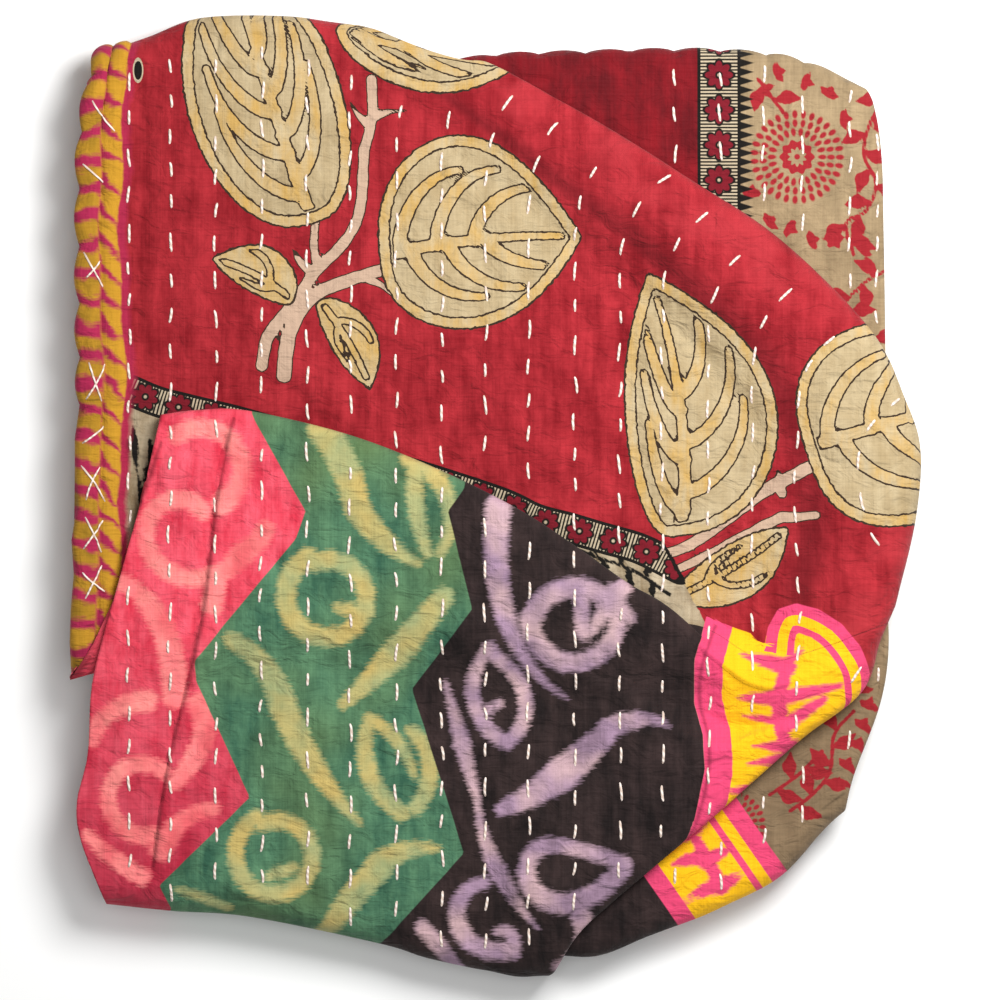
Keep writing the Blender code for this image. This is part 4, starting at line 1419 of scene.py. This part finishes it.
def hem_dye(tree, plan, cloth):
    """The ochre hem with its resist-dyed magenta flames, and the dye that crept beside it."""
    look = colours()
    from_edge, along, _ = marks(tree, "hem")
    inner = add(tree, "SUBTRACT", (HEM_WIDTH + HEM_CREEP, from_edge))
    inner = creeping(tree, plan, inner, 4.0, (6.0, 9.0, 1.0))
    colour = dye(tree, cloth, look.maroon_pink, inner, 1.6)
    width = add(tree, "SUBTRACT", (HEM_WIDTH, from_edge))
    width = creeping(tree, plan, width, 2.2, (3.0, 5.0, 1.0))
    rope = add(tree, "SUBTRACT", (2 * HEM_ROPE, from_edge))
    # The rope along the edge is darker ochre, in clouds
    ochre = dye(tree, look.ochre, faded(tree, plan, look.rope_ochre, look.ochre), rope, 2.5)
    colour = dye(tree, colour, ochre, width, 0.6)
    band = add(tree, "MULTIPLY", (rope, -1.0))
    for (lean, broad, growth), side in ((BAND_FLAMES, band), (ROPE_FLAMES, rope)):
        leaning = add(tree, "MULTIPLY_ADD", (from_edge, lean, along))
        leaning = creeping(tree, plan, leaning, 13.0, (12.0, 12.0, 1.0))
        tooth = add(tree, "PINGPONG", (leaning, HEM_FLAME / 2))
        room = add(tree, "MULTIPLY_ADD", (from_edge, growth, broad))
        flame = add(tree, "SUBTRACT", (room, tooth))
        flame = creeping(tree, plan, flame, 3.6, (4.0, 1.0, 1.0))
        on_hem = add(tree, "MINIMUM", (flame, width))
        on_hem = add(tree, "MINIMUM", (on_hem, side))
        colour = dye(tree, colour, look.hem_magenta, on_hem, 1.2)
    return colour


def leaf_print(tree, plan):
    """The red cloth with pale leaves, painted shade in the valley by the ridge and a painted highlight
    on its crown.
    """
    look = colours()
    leaf, vein, stem = marks(tree, "leaves")
    from_ridge = marks(tree, "ridge_light")[0]
    off = add(tree, "SUBTRACT", (from_ridge, VALLEY_SHADE_AT))
    off = add(tree, "ABSOLUTE", (off,))
    valley, highlit = (
        add(tree, MAP_RANGE, {"Value": way, "From Min": none, "From Max": full, "To Max": most},
            interpolation_type="SMOOTHSTEP")
        for way, (none, full, most) in ((off, VALLEY_SHADE), (from_ridge, CROWN_HIGHLIGHT))
    )
    red = faded(tree, plan, look.red, look.faded_red)
    # Painted shade in the valley by the ridge
    red = add(tree, MIX, {0: valley, 6: red, 7: look.deep_red_and_valley_shade}, data_type="RGBA")
    # Painted highlight, in clouds, on the ridge's crown
    red = clouded(tree, plan, red, look.crown_highlight_red, 24.0, highlit)
    stem = creeping(tree, plan, stem, 1.4, (7, 7, 1))
    cloth = dye(tree, red, look.stem, stem)
    cloth = ink(tree, cloth, look.line_brown, stem, 0.28)
    drawn = creeping(tree, plan, leaf, 2.0, (3, 3, 1))
    veins = creeping(tree, plan, vein, 1.3, (3, 3, 1))
    straw = faded(tree, plan, look.leaf_rim, look.bleached)
    inside = add(tree, "SUBTRACT", (drawn, RIM))
    cloth = dye(tree, cloth, straw, drawn)
    cloth = dye(tree, cloth, faded(tree, plan, look.leaf, look.bleached), inside)
    cloth = dye(tree, cloth, straw, veins, 0.4)
    for depth, half, at in ((veins, 0.42, 0.0), (drawn, 0.5, 0.0), (drawn, 0.45, RIM)):
        cloth = ink(tree, cloth, look.line_brown, depth, half, at)
    return cloth


def past_border(tree, plan, cloth):
    """The woven border below the red cloth, and the cream cloth with black sprigs beyond it."""
    look = colours()
    x, y, _ = marks(tree, "plan")
    across, along, foliage = marks(tree, "border")
    cut = add(tree, "MULTIPLY_ADD", (y, *BORDER_CUT))
    cut = add(tree, "SUBTRACT", (cut, x))
    cut = creeping(tree, plan, cut, 2.0, (3, 3, 1))
    beyond = add(tree, "SUBTRACT", (across, BORDER_HALF))
    beyond = add(tree, "MINIMUM", (beyond, cut))
    cloth = dye(tree, cloth, faded(tree, plan, look.cream, look.ecru), beyond)
    foliage = creeping(tree, plan, foliage, 1.2, (2, 2, 1))
    foliage = add(tree, "MINIMUM", (foliage, beyond))
    cloth = dye(tree, cloth, look.black, foliage)
    return border_band(tree, cloth, across, along, BORDER_HALF, BORDER_PETAL, cut)


def patchwork(tree, plan):
    """The flap's three resist-dyed cloths: the dye crept under the ties, so marks are feathered."""
    look = colours()
    from_coral, from_green, _ = marks(tree, "seams")
    coral_ikat, green_ikat, black_ikat = marks(tree, "ikat")
    # The coral grows darker towards the front
    none, full, most = FLAP_DARKENING
    darkened = add(tree, MAP_RANGE, {"Value": marks(tree, "plan")[1], "From Min": none, "From Max": full,
                                    "To Max": most})
    flap = faded(tree, plan, look.coral, look.faded_coral)
    flap = add(tree, MIX, {0: darkened, 6: flap, 7: look.deep_coral}, data_type="RGBA")
    green = faded(tree, plan, look.green, look.faded_green)
    green = clouded(tree, plan, green, look.olive, 75.0, 0.6)
    black = faded(tree, plan, look.brown_black, look.faded_black)
    for edge, patch, depth, light, motif, second in (
        (None, None, coral_ikat, look.faded_coral, look.pink, look.coral),
        (from_coral, green, green_ikat, look.faded_green, look.lime, look.straw),
        (from_green, black, black_ikat, look.faded_black, look.lavender, look.faded_pink),
    ):
        if edge is not None:
            flap = dye(tree, flap, patch, edge)
            depth = add(tree, "MINIMUM", (depth, edge))
        feathered = creeping(tree, plan, depth, 6.0, (5.5, 1.0, 1.0))
        uneven = faded(tree, plan, light, motif)
        uneven = add(tree, MIX, {0: 0.40, 6: motif, 7: uneven}, data_type="RGBA")
        uneven = clouded(tree, plan, uneven, second, 26.0, 0.6)
        flap = dye(tree, flap, uneven, feathered, 1.5)
    return flap


def edge_strip(tree, plan, cloth):
    """The sari's edge strip: magenta lines along its rim, and flames on yellow within them."""
    look = colours()
    in_strip, rim, flame = marks(tree, "strip")
    field = add(tree, "SUBTRACT", (rim, STRIP_FIELD))
    strip = dye(tree, look.magenta, look.yellow, field)
    strip = ink(tree, strip, look.yellow, add(tree, "SUBTRACT", (rim, STRIP_LINE)), 2.6)
    side = add(tree, "SUBTRACT", (marks(tree, "seams")[2], STRIP_SIDE))
    side = creeping(tree, plan, side, 1.5, (3, 6, 1))
    strip = dye(tree, look.magenta, strip, side)
    flame = creeping(tree, plan, flame, 3.5, (6.0, 0.9, 1.0))
    strip = dye(tree, strip, look.magenta, flame, 0.9)
    return dye(tree, cloth, strip, in_strip)


def sheet_colour(tree, plan):
    """Resist-dyed and printed patchwork: each cloth has its own ground, faded in clouds and streaks.

    The patches meet in plain seams, and the layers cast a thin shade where one stands over another.
    """
    look = colours()
    upper = past_border(tree, plan, leaf_print(tree, plan))
    flap = dye(tree, patchwork(tree, plan), upper, marks(tree, "seams")[2])
    joined = add(tree, "SUBTRACT", (marks(tree, "plan")[2], 0.5))
    colour = edge_strip(tree, plan, dye(tree, upper, flap, joined, 0.02))
    colour = hem_dye(tree, plan, colour)
    x, y, half_x, half_y = HOLE_SHADE
    place = add(tree, VECTOR_MATH, (plan, (1 / half_x, 1 / half_y, 0), (-x / half_x, -y / half_y, 0)),
                operation="MULTIPLY_ADD")
    oval = add(tree, VECTOR_MATH, (place,), operation="LENGTH")
    hole_shade = add(tree, "SUBTRACT", (1.0, oval))
    # Painted shade of a small hole by the top of the hem, with a pale rim
    colour = dye(tree, colour, look.black, hole_shade, 0.1)
    colour = ink(tree, colour, look.ecru, hole_shade, 0.14)
    from_tuck = add(tree, "ABSOLUTE", (marks(tree, "hem")[2],))
    dark, clear, least = TUCK_SHADE
    shade = add(tree, MAP_RANGE, {"Value": from_tuck, "From Min": dark, "From Max": clear,
                                  "To Min": least})
    return add(tree, MIX, {0: 1.0, 6: colour, 7: shade}, data_type="RGBA", blend_type="MULTIPLY")


def block_print(tree, plan, across):
    """Depth inside the red print of the cream cloth: ringed suns, three-lobed marks and scrolls."""
    sun_x, sun_y, _ = marks(tree, "sun")
    radius = add(tree, COMBINE, (sun_x, sun_y))
    radius = add(tree, VECTOR_MATH, (radius,), operation="LENGTH")
    angle = add(tree, "ARCTAN2", (sun_y, sun_x))
    printed = creeping(tree, plan, marks(tree, "print")[0], 0.9, (2.5, 2.5, 1))
    spots = add(tree, "SUBTRACT", (SUN_EYE, radius))
    spots = add(tree, "MAXIMUM", (spots, printed))
    for ring, petals, long_half, wide_half in SUN_RINGS:
        half_step = np.pi / petals
        local = add(tree, "WRAP", (angle, half_step, -half_step))
        side = add(tree, "MULTIPLY", (local, ring / wide_half))
        out = add(tree, "MULTIPLY_ADD", (radius, 1 / long_half, -ring / long_half))
        oval = add(tree, COMBINE, (side, out))
        oval = add(tree, VECTOR_MATH, (oval,), operation="LENGTH")
        depth = add(tree, "SUBTRACT", (1.0, oval))
        spots = add(tree, "MAXIMUM", (spots, depth))
    teeth = add(tree, "MULTIPLY", (angle, SUN_TEETH))
    teeth = add(tree, "COSINE", (teeth,))
    teeth = add(tree, "MULTIPLY_ADD", (teeth, 0.7, 2.0))
    from_ring = add(tree, "SUBTRACT", (radius, SUN_CROWN))
    from_ring = add(tree, "ABSOLUTE", (from_ring,))
    crown = add(tree, "SUBTRACT", (teeth, from_ring))
    spots = add(tree, "MAXIMUM", (spots, crown))
    on_cream = add(tree, "SUBTRACT", (across, BASE_BAND_HALF + 1.0))
    return add(tree, "MINIMUM", (spots, on_cream))


def under_flap(tree, plan, printed):
    """The layer below the flap: black cloth, the edge strip's lines and flames, and printed cream."""
    look = colours()
    flame = creeping(tree, plan, marks(tree, "print")[1], 3.0, (3.0, 1.2, 1.0))
    lower = marks(tree, "sun")[2]
    cloth = faded(tree, plan, look.brown_black, look.faded_black)
    tones = (look.magenta, look.yellow, look.magenta, look.yellow, look.magenta, printed)
    for number, (begin, tone) in enumerate(zip(LOWER_LINES, tones)):
        here = add(tree, "SUBTRACT", (lower, begin))
        cloth = dye(tree, cloth, tone, here)
        if number == FLAMED_LINE:
            flame = add(tree, "MINIMUM", (flame, here))
            cloth = dye(tree, cloth, look.magenta, flame, 0.8)
    return cloth


def packet_colour(tree, plan):
    """Block-printed sari cotton: madder red stamped on cream, with the stamps' slightly blurred edge.

    Its red ground, woven border and printed cream lie side by side, all faded by washing; the cream
    carries painted shade towards the front.
    """
    look = colours()
    x, y, _ = marks(tree, "plan")
    across = add(tree, "SUBTRACT", (x, BASE_BAND))
    none, full, most = CREAM_PAINTED_SHADE
    # Painted shade on the cream towards the front, where the flap overhangs it
    darkened = add(tree, MAP_RANGE, {"Value": y, "From Min": none, "From Max": full, "To Max": most})
    cream = faded(tree, plan, look.cream, look.worn_cream)
    cream = add(tree, MIX, {0: darkened, 6: cream, 7: look.cream_painted_shade}, data_type="RGBA")
    spots = block_print(tree, plan, across)
    colour = dye(tree, faded(tree, plan, look.deep_red_and_valley_shade, look.red), cream, across)
    colour = dye(tree, colour, look.print_red, spots)
    zigzag = add(tree, "PINGPONG", (y, SPIKE_PITCH / 2))
    slope = add(tree, "MULTIPLY_ADD", (across, *SPIKE_SLOPE))
    spike = add(tree, "SUBTRACT", (slope, zigzag))
    spike = add(tree, "MINIMUM", (spike, across))
    colour = dye(tree, colour, look.black, spike)
    colour = border_band(tree, colour, across, y, BASE_BAND_HALF, BASE_PETAL)
    front = under_flap(tree, plan, dye(tree, cream, look.print_red, spots))
    colour = dye(tree, colour, front, marks(tree, "print")[2])
    return hem_dye(tree, plan, colour)


# ---- Thread -----------------------------------------------------------------------------------


class Surface:
    """A cloth piece that thread is laid on, looked at from straight above."""

    def __init__(self, item, grid_columns):
        self.tree = BVHTree.FromObject(item, bpy.context.evaluated_depsgraph_get())
        self.columns = grid_columns

    def under(self, x, y):
        """Height, slope and grid row of the highest point at a plan place."""
        above = Vector(((x - ORIGIN[0]) * MM, (y - ORIGIN[1]) * MM, 0.2))
        hit, normal, face, _ = self.tree.ray_cast(above, Vector((0, 0, -1)))
        if hit is None:
            return -1.0, None, -1
        return hit.z / MM, np.array(normal), face // (2 * (self.columns - 1))


def thread_rings(points, up, half_width, half_height, taper):
    """Points of a flattened tube along a thread."""
    way = unit(np.gradient(points, axis=0))
    side = unit(np.cross(way, up))
    rise = np.cross(side, way)
    angle = np.arange(THREAD_SIDES) * 2 * np.pi / THREAD_SIDES
    across = np.cos(angle)[None, :, None] * side[:, None] * half_width
    high = np.sin(angle)[None, :, None] * rise[:, None] * half_height
    return points[:, None] + (across + high) * taper[:, None, None]


def stitch_at(path, surfaces, layer, sunk=0.7, proud=0.3):
    """Middle line of one stitch and the cloth's slope, or None where it would miss its layer."""
    line, slopes = [], []
    for x, y in path:
        found = [(surface.under(x, y), name) for name, surface in surfaces.items()]
        (height, normal, row), piece = max(found, key=lambda f: f[0][0])
        sewn, first, last = LAYERS[layer]
        if normal is None or sewn != piece or not first <= row < last:
            return None
        line.append((x, y, height))
        slopes.append(normal)
    line, slopes = np.array(line), np.array(slopes)
    if np.abs(np.diff(line[:, 2])).max() > STITCH_STEP or slopes[:, 2].min() < STITCH_SLOPE:
        return None
    lift = np.full(len(line), proud)
    lift[[0, -1]] = -sunk
    return line + slopes * lift[:, None], slopes


def row_lines():
    """The rows of running stitches, each a layer and a line of plan places from back to front."""
    y = np.arange(*ROW_ENDS, -1.0)
    pitch = in_mm("row_pitch")
    for k in range(-1, 20):
        for layer, part in (("upper", 0.0), ("flap", 1.0)):
            x = np.full_like(y, FIRST_ROW + k * pitch)
            for _ in range(8):
                x = x + 0.7 * (k - sheet_rows(x, y, np.full_like(y, part))) * pitch
            yield layer, np.column_stack([x, y])
    for x in BASE_ROWS[1:]:
        yield "base", np.column_stack([np.full_like(y, x), y])


def running_stitches(surfaces, chance):
    """Every running stitch of the quilt, as rings of points."""
    stitch, gap, half = in_mm("stitch"), in_mm("gap"), in_mm("thread") / 2
    taper = np.array([0.55, 0.95, 1.0, 0.95, 0.55])
    for layer, line in row_lines():
        way = np.concatenate([[0], np.cumsum(np.linalg.norm(np.diff(line, axis=0), axis=1))])
        at = chance.uniform(0, stitch + gap)
        drift = chance.uniform(-1.0, 1.0)
        while at < way[-1] - stitch:
            length = stitch * chance.uniform(0.75, 1.2)
            u = at + length * np.linspace(0, 1, 5)
            v = np.linspace(-1, 1, 5)
            shift = drift + chance.uniform(-0.5, 0.5) + chance.uniform(-0.8, 0.8) * v
            shift = shift + chance.uniform(-0.7, 0.7) * (1 - v**2)
            x, y = (np.interp(u, way, line[:, k]) for k in (0, 1))
            laid = stitch_at(np.column_stack([x + shift, y]), surfaces, layer)
            if laid is not None:
                yield thread_rings(*laid, half, 0.55 * half, taper)
            at += length + gap * chance.uniform(0.8, 1.25)


def hem_stitches(surfaces, chance):
    """Thin crossed stitches that whip the puffed hem down, some of them only one way."""
    half = 0.35 * in_mm("thread")
    for y in np.arange(*HEM_SEAM_ENDS, -in_mm("hem_cross")):
        middle = np.interp(y, *HEM_SEAM) + HEM_SEAM_INSET + chance.uniform(-1.5, 1.5)
        at = y + chance.uniform(-3, 3)
        for sign in (1, -1):
            lean, wide = chance.uniform(4, 10), chance.uniform(3, 6)
            if chance.uniform() < 0.2:
                continue
            u = np.linspace(-1, 1, 7)
            bow = chance.uniform(-1, 1) * (1 - u**2)
            path = np.column_stack([middle + sign * wide * u + bow, at - lean * u])
            laid = stitch_at(path, surfaces, "edge", 0.3, 0.35)
            if laid is not None:
                yield thread_rings(*laid, half, 0.8 * half, np.full(7, 1.0))


def add_thread(name, rings):
    """One mesh of all the stitches, each a closed tube."""
    points, faces = [], []
    for ring in rings:
        start = sum(len(p) for p in points)
        steps = len(ring)
        number = start + np.arange(steps * THREAD_SIDES).reshape(steps, THREAD_SIDES)
        turned = np.roll(number, -1, axis=1)
        walls = np.stack([number[:-1], turned[:-1], turned[1:], number[1:]], -1)
        faces += walls.reshape(-1, 4).tolist()
        faces += [number[0][::-1].tolist(), number[-1].tolist()]
        points.append(ring.reshape(-1, 3))
    places = (np.concatenate(points) - ORIGIN) * MM
    mesh = bpy.data.meshes.new(name)
    mesh.from_pydata(places.tolist(), [], faces)
    mesh.shade_smooth()
    return placed(name, mesh)


def thread_finish():
    """Doubled cotton thread, twisted and unwaxed: off-white and matt, with the twist just showing.

    A turn of the real twist is about 1 mm; these are about 3 mm, because it wouldn't show. The hollows
    of the twist carry painted shade.
    """
    material, tree, shader = new_material("twisted_cotton_thread", {
        "Roughness": 0.85, "Sheen Weight": 0.2,
    })
    place = add(tree, "ShaderNodeTexCoord").outputs["Object"]
    twist = add(tree, "ShaderNodeTexWave", {"Vector": place, "Scale": 180.0, "Distortion": 3.0},
                wave_type="BANDS", bands_direction="DIAGONAL")
    # Painted shade in the hollows of the twist
    tone = add(tree, MIX, {0: twist, 6: colours().thread_twist_shade, 7: colours().thread},
               data_type="RGBA")
    bump = add(tree, BUMP, {"Height": twist, "Strength": 0.4, "Distance": 0.0003})
    tree.links.new(tone.outputs[2], shader.inputs["Base Color"])
    tree.links.new(bump.outputs[0], shader.inputs["Normal"])
    return material


# ---- Settings, operators and panel ------------------------------------------------------------


def size(name, millimetres, description):
    """A length that the panel shows, given here in mm."""
    return bpy.props.FloatProperty(
        name=name, description=description, default=millimetres * MM, min=0.0, unit="LENGTH"
    )


def tint(name, hex_colour, description):
    """A colour that the panel shows, given here as sRGB."""
    return bpy.props.FloatVectorProperty(
        name=name, description=description, default=linear(hex_colour), size=4, min=0.0, max=1.0,
        subtype="COLOR",
    )


class QuiltSizes(bpy.types.PropertyGroup):
    """Sizes of the sewing"""

    stitch: size("Stitch", 10.5, "Length of a running stitch on the face")
    gap: size("Gap", 8.0, "Cloth between two stitches of a row")
    row_pitch: size("Row pitch", 22.3, "Distance from one row of stitches to the next")
    thread: size("Thread", 1.45, "Width of the doubled sewing thread")
    hem_cross: size("Hem stitch", 26.0, "Distance between the crossed stitches on the hem")


class QuiltColours(bpy.types.PropertyGroup):
    """Dyes of the old cottons and of the thread"""

    red: tint("Red", "#7A111A", "Ground of the printed sari cotton")
    faded_red: tint("Faded red", "#A3272F", "The same red where washing has lightened it")
    # Painted highlight on the ridge's crown
    crown_highlight_red: tint("Rubbed red", "#A52D34", "The same red where the fold's crown is rubbed")
    # The lower layer's red ground, and also painted shade in the red cloth's valley by the ridge
    deep_red_and_valley_shade: tint("Deep red", "#570C13", "Red of the layer below, which has faded least")
    leaf: tint("Leaf", "#9F8B68", "Pale inside of the printed leaves")
    leaf_rim: tint("Leaf rim", "#B49152", "Straw yellow of the leaves' rims and veins")
    stem: tint("Stem", "#B39781", "Warm cream of the printed stems")
    bleached: tint("Bleached", "#B3A17F", "The leaves where they have bleached")
    cream: tint("Cream", "#7F6C51", "Ground of the cream block-printed cotton")
    worn_cream: tint("Worn cream", "#9E8868", "The same cream where it has bleached")
    # Painted shade on the cream towards the front, where the flap overhangs it
    cream_painted_shade: tint("Grey cream", "#6B5641", "The same cream where it is handled by the front fold")
    ecru: tint("Ecru", "#B0A187", "Ground of the woven border and of the cloth beyond it")
    print_red: tint("Print red", "#8E1F26", "Madder red of the block print")
    maroon: tint("Maroon", "#6E1420", "Flowers of the woven border")
    line_brown: tint("Line brown", "#33261C", "Printed outlines of the leaves")
    black: tint("Ink black", "#15120F", "Printed outlines and border lines")
    coral: tint("Coral", "#C42E42", "Ground of the coral ikat")
    faded_coral: tint("Faded coral", "#E75A6B", "The same coral where it has faded")
    # The coral where it grows darker towards the front
    deep_coral: tint("Deep coral", "#8E1C33", "The same coral by the front fold, which is handled most")
    pink: tint("Pink", "#F08A84", "Resist marks on the coral ikat")
    green: tint("Green", "#2F5643", "Ground of the green ikat")
    faded_green: tint("Faded green", "#557F5F", "The same green where it has faded")
    lime: tint("Lime", "#A5A470", "Resist marks on the green ikat")
    olive: tint("Olive", "#5E7040", "Where the green has lost its blue")
    straw: tint("Straw", "#C9A557", "Where the resist marks on the green have yellowed")
    brown_black: tint("Brown black", "#191212", "Ground of the black ikat")
    faded_black: tint("Faded black", "#352827", "The same black where it has browned")
    lavender: tint("Lavender", "#A0839A", "Resist marks on the black ikat")
    faded_pink: tint("Faded pink", "#D2AFAB", "Where the marks on the black have lost their blue")
    yellow: tint("Yellow", "#EDB414", "Ground of the sari's edge strip")
    magenta: tint("Magenta", "#D8436C", "Lines and flames of the edge strip")
    hem_magenta: tint("Hem magenta", "#9E2348", "Flames of the hem")
    maroon_pink: tint("Maroon pink", "#9C2340", "The dye that crept beside the hem")
    ochre: tint("Ochre", "#B78625", "Ground of the hem")
    # Darker ochre, in clouds over the hem's rope along its edge
    rope_ochre: tint("Worn ochre", "#8E6B1C", "The same ochre where the hem is handled most")
    thread: tint("Thread", "#F1E2D8", "Off-white sewing thread")
    # Painted shade in the hollows of the thread's twist
    thread_twist_shade: tint("Thread hollow", "#C9B3A4", "The same thread in the hollows of its twist")


def in_mm(name):
    """One of the sizes that the panel shows, in mm."""
    return getattr(bpy.context.scene.quilt_sizes, name) / MM


def colours():
    """The colours that the panel shows."""
    return bpy.context.scene.quilt_colours


def on_frame(item):
    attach(item, "root")
    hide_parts("quilt")


class QUILT_OT_packet(bpy.types.Operator):
    """Folds the quilt back and forth into its packet"""

    bl_idname = "quilt.packet"
    bl_label = "Folded Packet"

    def execute(self, context):
        item = folded_packet()
        item.data.materials.append(cloth_finish("block_printed_sari_cotton", packet_colour))
        on_frame(item)
        return {"FINISHED"}


class QUILT_OT_loose_sheet(bpy.types.Operator):
    """Lays the quilt's last stretch over the packet, with its ridge, pleat and flap"""

    bl_idname = "quilt.loose_sheet"
    bl_label = "Loose Top Sheet"

    def execute(self, context):
        item = loose_sheet()
        item.data.materials.append(cloth_finish("resist_dyed_patchwork_cotton", sheet_colour))
        return {"FINISHED"}


class QUILT_OT_stitches(bpy.types.Operator):
    """Sews the rows of running stitches and whips the hem"""

    bl_idname = "quilt.stitches"
    bl_label = "Kantha Stitches"

    def execute(self, context):
        sheet = bpy.data.objects["loose_sheet"]
        surfaces = {
            "loose_sheet": Surface(sheet, SHEET_COLUMNS + SHEET_TURN + SHEET_LEG),
            "folded_packet": Surface(bpy.data.objects["folded_packet"], PACKET_COLUMNS),
        }
        chance = np.random.default_rng(7)
        rings = list(running_stitches(surfaces, chance)) + list(hem_stitches(surfaces, chance))
        thread = add_thread("kantha_stitches", rings)
        thread.data.materials.append(thread_finish())
        on_frame(thread)
        on_frame(sheet)
        return {"FINISHED"}


class QUILT_OT_stage(bpy.types.Operator):
    """Sets the pale floor, the soft light and the camera above the quilt"""

    bl_idname = "quilt.stage"
    bl_label = "Stage"

    def execute(self, context):
        scene = context.scene
        mesh = bpy.data.meshes.new("floor")
        corners = [(FLOOR_HALF * a, FLOOR_HALF * b, 0) for a, b in ((-1, -1), (1, -1), (1, 1), (-1, 1))]
        mesh.from_pydata(corners, [], [(0, 1, 2, 3)])
        floor = placed("floor", mesh)
        # Uncoated paper has no gloss, so that nothing shows on it but soft shadow
        mesh.materials.append(new_material("matt_white_paper", {
            "Base Color": linear("#F7F7F6"), "Roughness": 1.0, "Specular IOR Level": 0.0,
        })[0])

        camera = placed("camera", bpy.data.cameras.new("camera"))
        camera.data.lens = CAMERA_LENS
        camera.data.sensor_width = CAMERA_SENSOR
        camera.location = (*CAMERA_PLACE, VIEW_HEIGHT + VIEW_WIDTH / CAMERA_SENSOR * CAMERA_LENS)
        scene.camera = camera

        for name, power, width, place in SOFTBOXES:
            light = bpy.data.lights.new(name, "AREA")
            light.energy = power
            light.size = width
            lamp = placed(name, light)
            lamp.location = place
            lamp.rotation_euler = (-lamp.location).to_track_quat("-Z", "Y").to_euler()
        world = bpy.data.worlds.new("studio")
        world.use_nodes = True
        sky = world.node_tree.nodes["Background"]
        sky.inputs["Color"].default_value = (1, 1, 1, 1)
        sky.inputs["Strength"].default_value = WORLD_LIGHT
        scene.world = world
        scene.view_settings.view_transform = "Standard"
        return {"FINISHED"}


class QUILT_PT_panel(bpy.types.Panel):
    """Buttons for each piece of the quilt, and its sizes and colours"""

    bl_idname = "QUILT_PT_panel"
    bl_label = "Kantha Quilt"
    bl_space_type = "VIEW_3D"
    bl_region_type = "UI"
    bl_category = "Quilt"

    def draw(self, context):
        for operator in OPERATORS:
            self.layout.operator(operator.bl_idname)
        for settings in (context.scene.quilt_sizes, context.scene.quilt_colours):
            for name in settings.__annotations__:
                self.layout.prop(settings, name)


OPERATORS = (QUILT_OT_packet, QUILT_OT_loose_sheet, QUILT_OT_stitches, QUILT_OT_stage)
CLASSES = (QuiltSizes, QuiltColours, *OPERATORS, QUILT_PT_panel)


def register():
    """Registers the classes, and hangs the settings on the scene."""
    for item in CLASSES:
        bpy.utils.register_class(item)
    bpy.types.Scene.quilt_sizes = bpy.props.PointerProperty(type=QuiltSizes)
    bpy.types.Scene.quilt_colours = bpy.props.PointerProperty(type=QuiltColours)


def unregister():
    """Takes the settings and the classes away again."""
    del bpy.types.Scene.quilt_colours
    del bpy.types.Scene.quilt_sizes
    for item in reversed(CLASSES):
        bpy.utils.unregister_class(item)


def main():
    """Dresses the frame."""
    register()
    bpy.ops.quilt.packet()
    bpy.ops.quilt.loose_sheet()
    bpy.ops.quilt.stitches()
    bpy.ops.quilt.stage()


if __name__ == "__main__":
    main()
